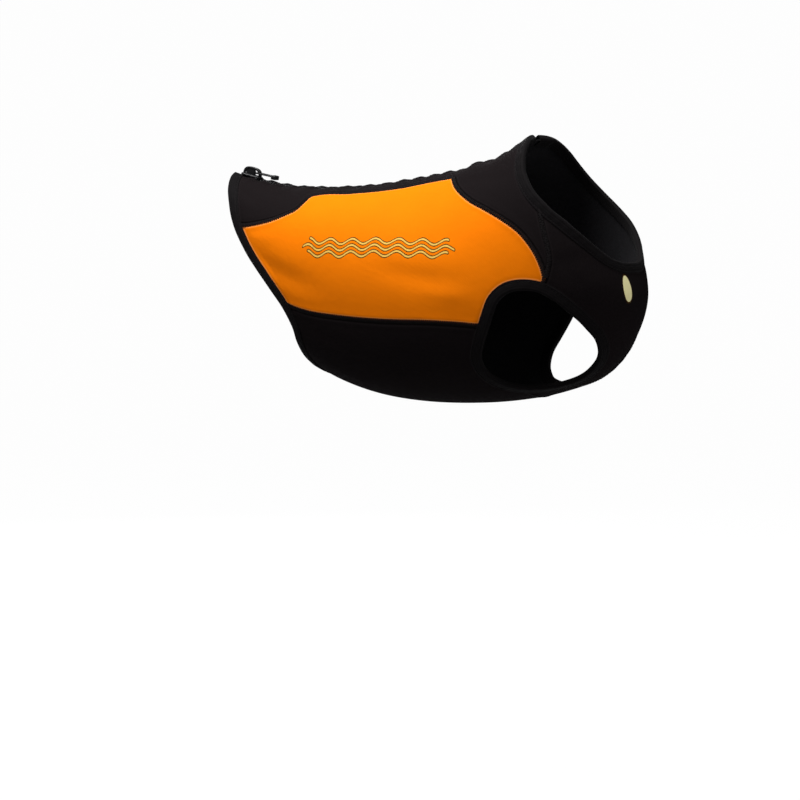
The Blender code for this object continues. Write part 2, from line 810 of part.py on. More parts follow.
def make_pull(slider_matrix, material):
    """The pull tab, at rest, with its origin on its hinge axis."""
    hinge = slider_matrix @ Matrix.Translation(Vector((PULL_AXIS[0], 0.0, PULL_AXIS[1])) * MM)
    matrix = hinge @ Matrix.Rotation(np.radians(PULL_TILT), 4, "Y")
    half_thick = PULL_THICKNESS / 2
    wide = PULL_HALF_WIDTH
    gap = PULL_WINDOW_HALF_WIDTH
    tip = PULL_LENGTH
    end_start = tip - PULL_END_LENGTH
    outline = [(-0.6, wide), (-0.6, gap), (PULL_WINDOW, gap)]
    outline += [(x, -y) for x, y in reversed(outline)]
    outline += [(end_start, -0.92 * wide), (end_start, 0.92 * wide)]
    pull = solid("zip_pull", [prism(outline, -half_thick, half_thick, "z")], material, matrix)
    grip = [(end_start - 1.2, 0.8 * wide), (end_start + 0.3, 1.0 * wide), (tip - 1.2, 1.0 * wide), (tip, 0.7 * wide)]
    grip += [(x, -y) for x, y in reversed(grip)]
    angles = np.linspace(0, 2 * np.pi, 13)[:-1]
    bar = [(PULL_BAR_RADIUS * np.cos(a), PULL_BAR_RADIUS * np.sin(a)) for a in angles]
    shapes = [prism(grip, *PULL_END_HEIGHTS, "z"), prism(bar, -0.9 * wide, 0.9 * wide, "y")]
    unite(pull, solid("zip_pull_ends", shapes, material, matrix))


def make_stops(slider_matrix, plastic):
    """The two stops at the zip's hem end and the retainer box at its neck end."""
    for name, side in (("zip_stop_right", -1), ("zip_stop_left", 1)):
        y_range = sorted(side * reach for reach in STOP_REACH)
        solid(name, [block(STOP_SPAN, y_range, STOP_HEIGHTS)], plastic, slider_matrix)
    box = block((-BOX_LENGTH / 2, BOX_LENGTH / 2), (-BOX_HALF_WIDTH, BOX_HALF_WIDTH), BOX_HEIGHTS)
    solid("zip_box", [box], plastic, zip_frame(BOX_STATION))


def main():
    clear_scene()
    black = make_material("black neoprene", BLACK_CLOTH, 0.85)
    orange = make_material("orange neoprene", ORANGE_CLOTH, 0.75)
    tape = make_material("black zip tape", BLACK_TAPE, 0.8)
    binding = make_material("black edge binding", BLACK_BINDING, 0.8)
    plastic = make_material("black moulded teeth", BLACK_PLASTIC, 0.4)
    metal = make_material("black coated zinc", BLACK_METAL, 0.35, 0.9)
    lines = cut_lines()
    make_yokes(lines, black)
    make_sides(lines, orange)
    make_belly(lines, black)
    make_chest(lines, black)
    make_bindings(lines, binding)
    stations = lines["zip"][:, 0]
    make_tapes(stations, tape)
    make_chain(stations, plastic)
    slider_matrix = make_slider(metal)
    make_pull(slider_matrix, metal)
    make_stops(slider_matrix, plastic)


main()
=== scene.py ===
# %% [markdown]
# # A dog's wetsuit in neoprene
# This lesson dresses a imported CAD model of a sleeveless dog vest. The CAD solids say where every
# panel, binding and zip part lies. Here each of them gets its real surface: the soft edge beside a
# seam, the creases, the thread, the knit. Every piece rides on one of the model's bodies.

import bmesh
import bpy
import numpy as np
from mathutils import Matrix, Vector
from mathutils.kdtree import KDTree


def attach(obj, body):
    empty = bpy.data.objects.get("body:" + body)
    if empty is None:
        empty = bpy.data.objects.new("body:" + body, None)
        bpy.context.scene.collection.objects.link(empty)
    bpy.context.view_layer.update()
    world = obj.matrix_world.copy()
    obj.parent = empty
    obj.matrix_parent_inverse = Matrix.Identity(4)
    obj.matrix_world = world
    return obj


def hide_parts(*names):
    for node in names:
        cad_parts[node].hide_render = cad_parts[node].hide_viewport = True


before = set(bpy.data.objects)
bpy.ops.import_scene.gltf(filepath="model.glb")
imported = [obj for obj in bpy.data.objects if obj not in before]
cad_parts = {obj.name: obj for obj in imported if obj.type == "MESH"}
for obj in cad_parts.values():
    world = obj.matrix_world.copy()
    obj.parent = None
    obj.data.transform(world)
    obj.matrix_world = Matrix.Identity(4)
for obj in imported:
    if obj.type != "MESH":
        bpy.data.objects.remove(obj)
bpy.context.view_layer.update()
MM = 0.001

# %% [markdown]
# ## A chart of the torso
# A garment is easiest to describe on the body that fills it. Every place gets a station, from 0 at
# the hem to 1 at the neck, and a turn in degrees, from 0 on the back's centre line over 90 on the
# right flank to 180 on the belly. One table of cross-sections turns the two numbers into a point,
# so seams, creases and stitches are all drawn as short tables of stations and turns.

# %% The torso's sections
WALL = 3.0 * MM
SEAM_GAP = 0.02 * MM
# Columns: station; back x and z, belly x and z, and half width, all in millimetres; share of the way
# down to the widest place; fullness of the flanks
SECTIONS = np.array([
    [0.00, -190, 8, -90, -181, 54, 0.50, 0.03],
    [0.10, -157, 0, -52, -197, 65, 0.50, 0.04],
    [0.20, -123, -5, -10, -208, 75, 0.50, 0.04],
    [0.30, -88, -6, 37, -213, 83, 0.50, 0.04],
    [0.40, -53, -5, 87, -213, 89, 0.50, 0.03],
    [0.50, -17, -2, 135, -209, 92, 0.50, 0.02],
    [0.60, 20, 3, 182, -200, 92, 0.50, 0.00],
    [0.70, 56, 9, 223, -184, 89, 0.48, 0.00],
    [0.80, 90, 17, 250, -155, 84, 0.46, 0.00],
    [0.90, 122, 27, 264, -116, 77, 0.46, 0.00],
    [1.00, 151, 43, 255, -76, 69, 0.50, 0.00],
])
# Columns: station, height in millimetres and half length of each rise and dip beside the zip
PUCKERS = np.array([
    [0.254, 0.6, 0.030], [0.317, -1.3, 0.028], [0.377, 0.9, 0.030], [0.430, -1.8, 0.030],
    [0.515, -0.8, 0.030], [0.765, -2.0, 0.025], [0.815, 1.6, 0.022], [0.875, -1.8, 0.024],
])
PUCKER_REACH = 24.0


def smooth_rows(table, at):
    """Reads a table at any value of its first column, along a smooth curve through its rows."""
    place = np.clip(np.asarray(at, float), table[0, 0] - 0.05, table[-1, 0] + 0.05)
    keys = table[:, 0]
    values = table[:, 1:]
    slopes = np.gradient(values, keys, axis=0)
    row = np.clip(np.searchsorted(keys, place, side="right") - 1, 0, len(keys) - 2)
    span = (keys[row + 1] - keys[row])[..., None]
    part = (place - keys[row])[..., None] / span
    start = (2 * part**3 - 3 * part**2 + 1) * values[row]
    leave = (part**3 - 2 * part**2 + part) * span * slopes[row]
    end = (-2 * part**3 + 3 * part**2) * values[row + 1]
    arrive = (part**3 - part**2) * span * slopes[row + 1]
    return start + leave + end + arrive


def torso(station, turn):
    """Point on the cloth's inner face."""
    station, turn = np.broadcast_arrays(np.asarray(station, float), np.asarray(turn, float))
    columns = np.moveaxis(smooth_rows(SECTIONS, station), -1, 0)
    back_x, back_z, belly_x, belly_z, half, widest, fullness = columns
    angle = np.radians(turn)
    toward_back = np.cos(angle)
    upper = widest * (1 - toward_back)
    lower = widest - (1 - widest) * toward_back
    down = np.where(toward_back > 0, upper, lower)
    across = half * (np.sin(angle) + fullness * np.sin(3 * angle)) / (1 - fullness)
    near_zip = np.exp(-((across / PUCKER_REACH) ** 2)) * (toward_back > 0)
    lift = sum(height * np.exp(-(((station - at) / length) ** 2)) for at, height, length in PUCKERS)
    x = back_x + down * (belly_x - back_x)
    z = back_z + down * (belly_z - back_z) + lift * near_zip
    return np.stack([x, -across, z], -1) * MM


def unit(vectors):
    """The vectors made one long."""
    return vectors / np.maximum(np.linalg.norm(vectors, axis=-1, keepdims=True), 1e-12)


def slopes_at(station, turn):
    """How the torso's point moves for one unit of station and for one degree of turn."""
    along = torso(station + 0.001, turn) - torso(station - 0.001, turn)
    round_ = torso(station, turn + 0.1) - torso(station, turn - 0.1)
    return along / 0.002, round_ / 0.2


def outward(station, turn):
    """Direction out of the cloth, square to the torso."""
    along, round_ = slopes_at(station, turn)
    return unit(np.cross(round_, along))


def points_at(places):
    """Points on the inner face, for rows or grids of station and turn."""
    return torso(places[..., 0], places[..., 1])


def normals_at(places):
    """Directions out of the cloth, for rows or grids of station and turn."""
    return outward(places[..., 0], places[..., 1])


def run(points):
    """Distance along a row of points, from the first of them."""
    return np.concatenate([[0], np.cumsum(np.linalg.norm(np.diff(points, axis=0), axis=1))])


def read_at(wanted, known, rows):
    """Rows that are known at some lengths, read at others."""
    return np.stack([np.interp(wanted, known, column) for column in rows.T], -1)


def signed(turn):
    """The turn from -180 to 180, with the left side below zero."""
    return (turn + 180) % 360 - 180


# The stations lean, so this loop is longer than the girth square to the body
middle_loop = np.stack([np.full(361, 0.5), np.arange(361.0)], -1)
print("round the middle station, mm:", round(float(run(points_at(middle_loop))[-1] / MM)))

# %% [markdown]
# ## Seams and edges
# A pattern cutter draws the lines before the pieces. These tables give the hem, the neck, the
# armhole and each seam of the right side; the left side is the same with the turn's sign changed.
# A path through a table is cut into equal steps measured on the cloth, so cells stay even.

# %% The lines of the pattern
# The two edges are rows of turn and station, the other lines rows of station and turn
HEM_EDGE = np.array([
    [0, 0.000], [45, 0.010], [65, 0.010], [80, 0.030], [92, 0.062], [104, 0.088],
    [116, 0.086], [130, 0.058], [145, 0.034], [160, 0.028], [180, 0.028],
])
NECK_EDGE = np.array([
    [0, 1.008], [25, 1.018], [42, 1.006], [60, 0.986], [75, 0.980],
    [90, 0.986], [110, 1.000], [130, 1.002], [150, 0.994], [180, 0.998],
])
ARMHOLE = np.array([
    [0.630, 113.8], [0.660, 109.2], [0.695, 105.2], [0.730, 104.6], [0.766, 107.6],
    [0.798, 114.4], [0.809, 121.5], [0.812, 131.0], [0.807, 143.0], [0.792, 154.0],
    [0.762, 162.0], [0.715, 165.5], [0.660, 165.5], [0.610, 162.5], [0.570, 157.0],
    [0.545, 149.0], [0.538, 140.0], [0.550, 130.5], [0.586, 121.4],
])
SADDLE_SEAM = np.array([
    [0.010, 60.0], [0.050, 58.0], [0.102, 53.8], [0.172, 47.8], [0.233, 41.5], [0.270, 37.0],
    [0.293, 30.0], [0.309, 24.0], [0.335, 21.8], [0.435, 22.0], [0.583, 23.6], [0.700, 24.0],
    [0.760, 26.5],
])
FRONT_SEAM = np.array([
    [0.760, 26.5], [0.773, 41.0], [0.798, 54.0], [0.830, 65.5], [0.857, 78.0],
    [0.871, 90.0], [0.866, 100.5], [0.851, 108.0], [0.833, 113.0],
])
SHOULDER_SEAM = np.array([[0.833, 113.0], [0.875, 109.0], [0.925, 98.0], [0.981, 84.0]])
FLANK_SEAM = np.array([
    [0.088, 102.0], [0.165, 102.2], [0.268, 102.0], [0.400, 103.4],
    [0.515, 106.0], [0.575, 109.0], [0.630, 113.8],
])
NOTCH = (0.798, 114.4)
STRIP_TOP = (0.762, 162.0)
STRIP_END = (0.560, 154.6)
ZIP_OPENING = 8.0 * MM
CHART = np.array([0.35, 0.0014])  # rough metres for one station and for one degree
MIRROR = np.array([1, -1])


def turn_at(station, reach):
    """Turn at which the back is this far to the right of its centre line."""
    columns = np.moveaxis(smooth_rows(SECTIONS, station), -1, 0)
    fullness = columns[6]
    return np.degrees(np.arcsin(reach * (1 - fullness) / (columns[4] * MM * (1 + 3 * fullness))))


def edge_point(edge, turn):
    """Station and turn of an open edge."""
    turn = np.asarray(turn, float)
    folded = np.where(turn > 180, 360 - turn, turn)
    return np.stack([smooth_rows(edge, folded)[..., 0], turn], -1)


def curve_through(rows, steps=16):
    """A dense smooth path through rows of station and turn."""
    at = run(rows * CHART)
    return smooth_rows(np.column_stack([at, rows]), np.linspace(0, at[-1], steps * (len(rows) - 1) + 1))


def ring_through(rows, steps=16):
    """A dense smooth closed path, its first point not repeated."""
    lap = curve_through(np.concatenate([rows[-3:], rows, rows[:4]]), steps)
    start = np.argmin(np.abs(lap - rows[0]).sum(axis=1)[: 6 * steps])
    after = lap[start + steps * 3:]
    return lap[start:start + steps * 3 + np.argmin(np.abs(after - rows[0]).sum(axis=1))]


def spread(path, cells):
    """The path as this many equal steps, measured on the cloth."""
    at = run(points_at(path))
    return read_at(np.linspace(0, at[-1], cells + 1), at, path)


def part_of_ring(ring, start, end):
    """The stretch of a closed path from the point nearest one place to the point nearest another."""
    first, last = (np.argmin(np.linalg.norm((ring - place) * CHART, axis=1)) for place in (start, end))
    last += len(ring) if last <= first else 0
    stretch = ring[np.arange(first, last + 1) % len(ring)].copy()
    stretch[0] = start
    stretch[-1] = end
    return stretch


def across_belly(path):
    """The same path on the left side, with its turn counted on past the belly."""
    return path * MIRROR + [0, 360]


def join(*paths):
    """One path from several that follow each other, with each shared point kept once."""
    return np.concatenate([paths[0]] + [path[1:] for path in paths[1:]])


def along_edge(edge, first, last, cells):
    """An open edge from one turn to another."""
    return edge_point(edge, np.linspace(first, last, cells + 1))


# %% Cut the lines into even steps
SADDLE_CELLS, NAPE_CELLS, NECK_CELLS, SHOULDER_CELLS = 154, 30, 30, 32
NOTCH_CELLS, SIDE_CELLS, FLANK_CELLS, ARMPIT_CELLS = 6, 60, 100, 50
STRIP_ACROSS, STRIP_ALONG, ARM_FRONT_CELLS = 30, 32, 60
ZIP_CROWDING = 1.3

ring = ring_through(ARMHOLE)
lines = {
    "saddle": spread(curve_through(SADDLE_SEAM), SADDLE_CELLS),
    "front": spread(curve_through(FRONT_SEAM), NAPE_CELLS + NECK_CELLS),
    "shoulder": spread(curve_through(SHOULDER_SEAM), SHOULDER_CELLS),
    "flank": spread(curve_through(FLANK_SEAM), FLANK_CELLS),
    "over arm": spread(part_of_ring(ring, FLANK_SEAM[-1], NOTCH), SIDE_CELLS),
    "arm front": spread(part_of_ring(ring, NOTCH, STRIP_TOP), ARM_FRONT_CELLS),
    "strip side": spread(part_of_ring(ring, STRIP_TOP, STRIP_END), STRIP_ALONG),
    "armpit": spread(part_of_ring(ring, STRIP_END, FLANK_SEAM[-1]), ARMPIT_CELLS),
    "notch": np.linspace(FRONT_SEAM[-1], NOTCH, NOTCH_CELLS + 1),
    "strip top": np.linspace(STRIP_TOP, (STRIP_TOP[0], 360 - STRIP_TOP[1]), STRIP_ACROSS + 1),
    "strip end": np.linspace(STRIP_END, (STRIP_END[0], 360 - STRIP_END[1]), STRIP_ACROSS + 1),
}
lines["saddle"][0] = edge_point(HEM_EDGE, SADDLE_SEAM[0, 1])
lines["flank"][0] = edge_point(HEM_EDGE, FLANK_SEAM[0, 1])
lines["shoulder"][-1] = edge_point(NECK_EDGE, SHOULDER_SEAM[-1, 1])
seam_top = SADDLE_SEAM[-1, 0]
rear = np.linspace(edge_point(HEM_EDGE, turn_at(0.0, ZIP_OPENING))[0], seam_top, SADDLE_CELLS + 1)
nape = np.linspace(seam_top, edge_point(NECK_EDGE, turn_at(1.0, ZIP_OPENING))[0], NAPE_CELLS + 1)
zip_stations = np.concatenate([rear, nape[1:]])
lines["zip"] = np.stack([zip_stations, turn_at(zip_stations, ZIP_OPENING)], -1)
zip_hem, zip_neck = lines["zip"][0, 1], lines["zip"][-1, 1]
saddle_hem, flank_hem, shoulder_neck = lines["saddle"][0, 1], lines["flank"][0, 1], lines["shoulder"][-1, 1]
crowded = np.linspace(0, 1, SHOULDER_CELLS + 1) ** ZIP_CROWDING
lines["yoke hem"] = edge_point(HEM_EDGE, zip_hem + crowded * (saddle_hem - zip_hem))
lines["yoke neck"] = along_edge(NECK_EDGE, zip_neck, shoulder_neck, NECK_CELLS)
lines["side hem"] = along_edge(HEM_EDGE, saddle_hem, flank_hem, SIDE_CELLS)
lines["belly hem"] = along_edge(HEM_EDGE, flank_hem, 360 - flank_hem, 2 * ARMPIT_CELLS + STRIP_ACROSS)
lines["bib neck"] = along_edge(
    NECK_EDGE, shoulder_neck, 360 - shoulder_neck, 2 * ARM_FRONT_CELLS + STRIP_ACROSS)
for name, line in lines.items():
    print(f"{name:10s} {run(points_at(line))[-1] / MM:6.1f} mm in {len(line) - 1} steps")

# %% [markdown]
# ## How far is the nearest seam?
# Sewn neoprene shows its seams more than anything else: the cloth rounds down into the seam, swells
# a little beside it, and ripples where the thread gathers it. All three depend only on how far a
# point is from the line and how far along the line it is, so each kind of line gets a search tree.

# %% Search trees along the lines
SEWN = ["saddle", "front", "shoulder", "flank", "notch"]
BOUND = ["yoke hem", "side hem", "belly hem", "yoke neck", "bib neck",
         "over arm", "arm front", "strip side", "armpit"]
SEARCH_STEP = 0.4 * MM
LINE_OFFSET = 1.37  # added to each line's lengths, so that no two lines ripple in step


def both_sides(names):
    """The named lines on the right side and on the left."""
    return [path for name in names for path in (lines[name], lines[name] * MIRROR)]


def tree_over(points):
    """A search tree that finds a point's nearest neighbour in a list."""
    tree = KDTree(len(points))
    for k, point in enumerate(points):
        tree.insert(point, k)
    tree.balance()
    return tree


def line_tree(paths):
    """A search tree over close points, with how far along its line each one lies."""
    points, lengths = [], []
    for path in paths:
        at = run(points_at(path))
        places = np.linspace(0, at[-1], int(at[-1] / SEARCH_STEP) + 1)
        points.append(points_at(read_at(places, at, path)))
        lengths.append(places + len(lengths) * LINE_OFFSET)
    return tree_over(np.concatenate(points)), np.concatenate(lengths)


def nearest(tree_and_lengths, points):
    """Distance to the lines, and how far along them that is, for every point."""
    tree, lengths = tree_and_lengths
    found = [tree.find(point)[1:] for point in points]
    return np.array([f[1] for f in found]), lengths[[f[0] for f in found]]


sewn_tree = line_tree(both_sides(SEWN) + [lines["strip end"]])
bound_tree = line_tree(both_sides(BOUND))
zip_tree = line_tree(both_sides(["zip"]))
print("search points", len(sewn_tree[1]), len(bound_tree[1]), len(zip_tree[1]))

# %% [markdown]
# ## Creases placed one by one
# Three millimetres of foam bends in wide soft folds. Each row of the table is one fold: where it
# starts and ends, how far it stands out or sinks in, and how wide it is. The photographed side has
# its own rows, and the hidden side has folds of the same kind in slightly different places.

# %% The table of creases
# Columns: station and turn of both ends, height and half width in millimetres
RIGHT_CREASES = [
    [0.060, 79.0, 0.235, 84.5, -1.9, 14.0],
    [0.110, 93.0, 0.250, 93.0, 0.35, 13.0],
    [0.480, 78.0, 0.640, 88.0, -1.6, 11.0],
    [0.560, 92.0, 0.640, 97.0, 0.6, 7.0],
    [0.060, 66.0, 0.170, 60.0, 0.5, 8.0],
    [0.030, 30.0, 0.120, 34.0, -0.8, 8.0],
    [0.130, 20.0, 0.235, 26.0, -0.7, 7.0],
    [0.790, 34.0, 0.930, 52.0, -0.8, 9.0],
    [0.840, 24.0, 0.960, 36.0, 0.6, 8.0],
    [0.880, 112.0, 0.955, 128.0, -0.9, 9.0],
    [0.850, 126.0, 0.930, 146.0, 0.7, 9.0],
    [0.470, 122.0, 0.300, 132.0, -0.9, 11.0],
    [0.150, 112.0, 0.270, 120.0, -0.8, 10.0],
    [0.110, 140.0, 0.240, 146.0, 0.6, 12.0],
]
LEFT_CREASES = [
    [0.085, 79.0, 0.205, 80.5, -1.3, 9.0],
    [0.110, 90.0, 0.230, 87.0, 0.6, 10.0],
    [0.600, 87.0, 0.660, 93.0, -1.0, 7.0],
    [0.545, 95.0, 0.620, 99.0, 0.6, 8.0],
    [0.050, 34.0, 0.140, 30.0, -0.7, 8.0],
    [0.145, 24.0, 0.225, 18.0, 0.5, 7.0],
    [0.800, 38.0, 0.925, 48.0, -0.9, 9.0],
    [0.855, 20.0, 0.950, 32.0, 0.5, 8.0],
    [0.870, 116.0, 0.950, 132.0, -0.8, 9.0],
    [0.860, 130.0, 0.940, 142.0, 0.6, 8.0],
    [0.455, 126.0, 0.310, 130.0, -0.8, 11.0],
    [0.160, 115.0, 0.260, 118.0, -0.7, 10.0],
    [0.120, 136.0, 0.225, 148.0, 0.6, 12.0],
]

FLAT = np.array([370.0, 105.0])  # rough millimetres for one station and for one radian


def on_flat(station, turn):
    """A rough flat map of one side in millimetres, for distances and for the cloth's own pattern."""
    return np.stack([station, np.radians(turn)], -1) * FLAT


def crease_height(station, turn):
    """Sum of all the folds at each place, in metres."""
    turn = signed(turn)
    here = on_flat(station, np.abs(turn))
    total = np.zeros(len(station))
    for side, table in ((1, RIGHT_CREASES), (-1, LEFT_CREASES)):
        for s0, t0, s1, t1, height, width in table:
            start, end = on_flat(s0, t0), on_flat(s1, t1)
            part = np.clip((here - start) @ (end - start) / ((end - start) @ (end - start)), 0, 1)
            gap = np.linalg.norm(here - (start + part[:, None] * (end - start)), axis=1)
            taper = 0.45 + 0.55 * np.sin(np.pi * part)
            fold = height * taper * np.exp(-((gap / width) ** 2))
            total += np.where(turn * side >= 0, fold, 0)
    return total * MM


# %% [markdown]
# ## Relief of the cloth's face
# The face's height over its inner side is the foam's thickness, plus the folds, minus the rounding
# at each line. The ripple's phase wanders with a slow sine, because no seamstress feeds cloth evenly.

# %% The height of the face
# Millimetres, as are the heights, distances and pitches in the functions below
SEAM_PITCH, ZIP_PITCH, ZIP_FINE_PITCH = 5.2, 19.0, 7.1
BINDING_REACH, BINDING_FADE = 8.5, 7.0


def ease(value):
    """Rises softly from 0 to 1 as the value does, and stays level outside them."""
    value = np.clip(value, 0, 1)
    return value * value * (3 - 2 * value)


def bump_at(distance, middle, width):
    """A soft ridge of height one, at a distance in millimetres from a line."""
    return np.exp(-(((distance - middle) / width) ** 2))


def rounded_down(distance, reach):
    """One at a line, falling to nothing at its reach in millimetres."""
    return np.clip(1 - distance / reach, 0, 1) ** 2


def uneven_wave(at, pitch, swing, slow):
    """A wave at this pitch whose phase swings slowly, all in millimetres."""
    return np.sin(2 * np.pi * at / pitch + swing * np.sin(at / slow))


def face_relief(station, turn, points):
    """Height over the plain wall and height of the folds, with the distances to seam and binding."""
    distances_and_lengths = [nearest(tree, points) for tree in (sewn_tree, bound_tree, zip_tree)]
    (seam, seam_at), (bound, _), (zip_, zip_at) = [(d / MM, at / MM) for d, at in distances_and_lengths]
    free = ease((bound - BINDING_REACH) / BINDING_FADE)
    wander = 1.4 * np.sin(seam_at / 31) + 0.8 * np.sin(seam_at / 13 + 1)
    ripple = np.sin(2 * np.pi * seam_at / SEAM_PITCH + wander)
    gather = uneven_wave(zip_at, ZIP_PITCH, 2.4, 43) + 0.15 * uneven_wave(zip_at, ZIP_FINE_PITCH, 1.3, 19)
    beside_seam = 0.35 * bump_at(seam, 4.6, 2.2) + 0.16 * ripple * np.exp(-seam / 4.5)
    beside_opening = 0.80 * gather * bump_at(zip_, 0, 13) - 0.35 * bump_at(zip_, 6.0, 1.1)
    height = free * (beside_seam + beside_opening)
    height -= rounded_down(seam, 2.6) + 0.9 * rounded_down(zip_, 2.2) + 0.30 * bump_at(bound, 9.8, 1.3)
    return height * MM, crease_height(station, turn) * free, seam * MM, bound * MM


# %% [markdown]
# ## Panels as fine thin walls
# A panel lies between four lines of the pattern. A Coons patch fills the four with an even grid,
# and the grid becomes a wall: its face with relief, its lining, and a rim that closes the two. The
# rim is drawn in by half of the seam's gap. Numpy builds whole arrays at once, which keeps sixty
# thousand cells quick.

# %% Building a wall
def patch(low, high, start, end, crowding=1.0):
    """A grid of stations and turns between four edges: low and high run from start to end."""
    u = np.linspace(0, 1, len(low))[:, None, None]
    v = np.linspace(0, 1, len(start))[None, :, None] ** crowding
    ruled_up = (1 - v) * low[:, None] + v * high[:, None]
    ruled_along = (1 - u) * start[None] + u * end[None]
    corners_start = (1 - v) * low[0] + v * high[0]
    corners_end = (1 - v) * low[-1] + v * high[-1]
    return ruled_up + ruled_along - ((1 - u) * corners_start + u * corners_end)


def grid_cells(rows, columns, start=0):
    """The four corners of every cell in a grid of numbered points."""
    index = start + np.arange(rows * columns).reshape(rows, columns)
    return np.stack([index[:-1, :-1], index[1:, :-1], index[1:, 1:], index[:-1, 1:]], -1).reshape(-1, 4)


def cells_of(grids):
    """Places and cells of grids that share an edge's points."""
    places = np.concatenate([grid.reshape(-1, 2) for grid in grids])
    cells, start = [], 0
    for grid in grids:
        cells.append(grid_cells(*grid.shape[:2], start))
        start += grid[..., 0].size
    keys = np.round(places / [1e-6, 1e-4]).astype(np.int64)
    _, kept, new = np.unique(keys, axis=0, return_index=True, return_inverse=True)
    return places[kept], new.reshape(-1)[np.concatenate(cells)]


def square_to(points, cells):
    """A vector square to each cell, twice its area long."""
    first, second, third, fourth = points[cells.T]
    return np.cross(third - first, fourth - second)


def wall_of(cells, points, normals):
    """Quads of a wall's face, lining and rim, facing out; its face alone; and its rim's points."""
    if (square_to(points, cells) * normals[cells[:, 0]]).sum() < 0:
        cells = cells[:, ::-1]
    count = len(points)
    a, b = cells.ravel(), np.roll(cells, -1, axis=1).ravel()
    open_ = ~np.isin(a * count + b, b * count + a)
    after, before = np.full(count, -1), np.full(count, -1)
    after[a[open_]] = b[open_]
    before[b[open_]] = a[open_]
    rim = np.nonzero(after >= 0)[0]
    after, before = after[rim], before[rim]
    walls = np.stack([after, rim, rim + count, after + count], -1)
    return np.concatenate([cells, cells[:, ::-1] + count, walls]), cells, (rim, after, before)


def add_object(name, data):
    """Puts a mesh, light or camera in the scene."""
    thing = bpy.data.objects.new(name, data)
    bpy.context.scene.collection.objects.link(thing)
    return thing


def mesh_from(name, points, faces, uv, slots=None, floats=None):
    """A mesh object from arrays: quads, UV maps by point, material numbers and point values."""
    mesh = bpy.data.meshes.new(name)
    mesh.vertices.add(len(points))
    mesh.vertices.foreach_set("co", np.asarray(points, np.float32).ravel())
    mesh.loops.add(faces.size)
    mesh.loops.foreach_set("vertex_index", faces.ravel().astype(np.int32))
    mesh.polygons.add(len(faces))
    mesh.polygons.foreach_set("loop_start", np.arange(0, faces.size, faces.shape[1], dtype=np.int32))
    mesh.update(calc_edges=True)
    for label, coordinates in uv.items():
        layer = mesh.uv_layers.new(name=label)
        layer.data.foreach_set("uv", coordinates[faces.ravel()].astype(np.float32).ravel())
    if slots is not None:
        mesh.polygons.foreach_set("material_index", slots.astype(np.int32))
    for label, values in (floats or {}).items():
        field = mesh.attributes.new(label, "FLOAT", "POINT")
        field.data.foreach_set("value", values.astype(np.float32))
    mesh.validate()
    mesh.shade_smooth()
    mesh.set_sharp_from_angle(angle=np.radians(50))
    return add_object(name, mesh)


def make_panel(name, grids, print_map):
    """One panel of cloth with relief on its face, in place of the CAD node of the same name."""
    places, cells = cells_of(grids)
    inner, normals = points_at(places), normals_at(places)
    relief, folds, seam, bound = face_relief(*places.T, inner)
    faces, cells, (rim, after, before) = wall_of(cells, inner, normals)
    inward = sum(unit(np.cross(normals[rim], unit(step)))
                 for step in (inner[rim] - inner[before], inner[after] - inner[rim]))
    moved = inner.copy()
    moved[rim] += SEAM_GAP / 2 * inward / np.maximum((inward * inward).sum(1, keepdims=True) / 2, 0.5)
    lining, middle, face = (
        moved + normals * (folds + height)[:, None] for height in (0, WALL / 2, WALL + relief))
    slots = np.repeat([0, 1], [len(cells), len(faces) - len(cells)])
    maps = {"cloth": on_flat(*places.T) * MM}
    if print_map:
        maps["print"] = print_map(inner)
    uv, floats = ({label: np.concatenate([values, values]) for label, values in by_point.items()}
                  for by_point in (maps, {"seam": seam, "bound": bound}))
    thing = mesh_from(name + "_cloth", np.concatenate([face, lining]), faces, uv, slots, floats)
    area = np.linalg.norm(square_to(middle, cells), axis=1).sum() / 2
    print(f"{name}: {2 * len(faces)} triangles, {area * 1e4:.0f} cm2")
    return thing, area


# %% Lay out the six panels
seam_line = join(lines["saddle"], lines["front"])
yoke = patch(join(lines["zip"], lines["yoke neck"]), seam_line,
             lines["yoke hem"], lines["shoulder"][::-1], ZIP_CROWDING)
top = join(seam_line, lines["notch"])
side_grid = patch(spread(lines["flank"], len(top) - 1), top, lines["side hem"][::-1], lines["over arm"])
armpit = lines["armpit"][::-1]
belly = patch(lines["flank"], across_belly(lines["flank"]), lines["belly hem"],
              join(armpit, lines["strip end"], across_belly(armpit)[::-1]))
arm_front = lines["arm front"]
end = join(lines["shoulder"][::-1], lines["notch"])
bib = patch(lines["bib neck"], join(arm_front, lines["strip top"], across_belly(arm_front)[::-1]),
            end, across_belly(end))
strip = patch(lines["strip top"], lines["strip end"], lines["strip side"], across_belly(lines["strip side"]))

# The printed waves follow this line on the flank
PRINT_LINE = np.array([[0.269, 63.0], [0.380, 63.6], [0.497, 65.0], [0.600, 69.0], [0.690, 75.2]])
print_line = curve_through(PRINT_LINE, 40)


def print_map_on(side):
    """Length along the print's middle line, and distance above it, in metres."""
    path = points_at(print_line * [1, side])
    steps = np.diff(path, axis=0)
    at = run(path)
    tree = tree_over(path)

    def flat(points):
        """The print's own map, read at points on the cloth."""
        found = np.array([tree.find(point)[1] for point in points])
        found = np.clip(found, 0, len(steps) - 1)
        along = unit(steps[found])
        away = points - path[found]
        forward = (away * along).sum(1)
        rest = away - along * forward[:, None]
        return np.stack([at[found] + forward, np.linalg.norm(rest, axis=1) * np.sign(rest[:, 2])], -1)

    return flat


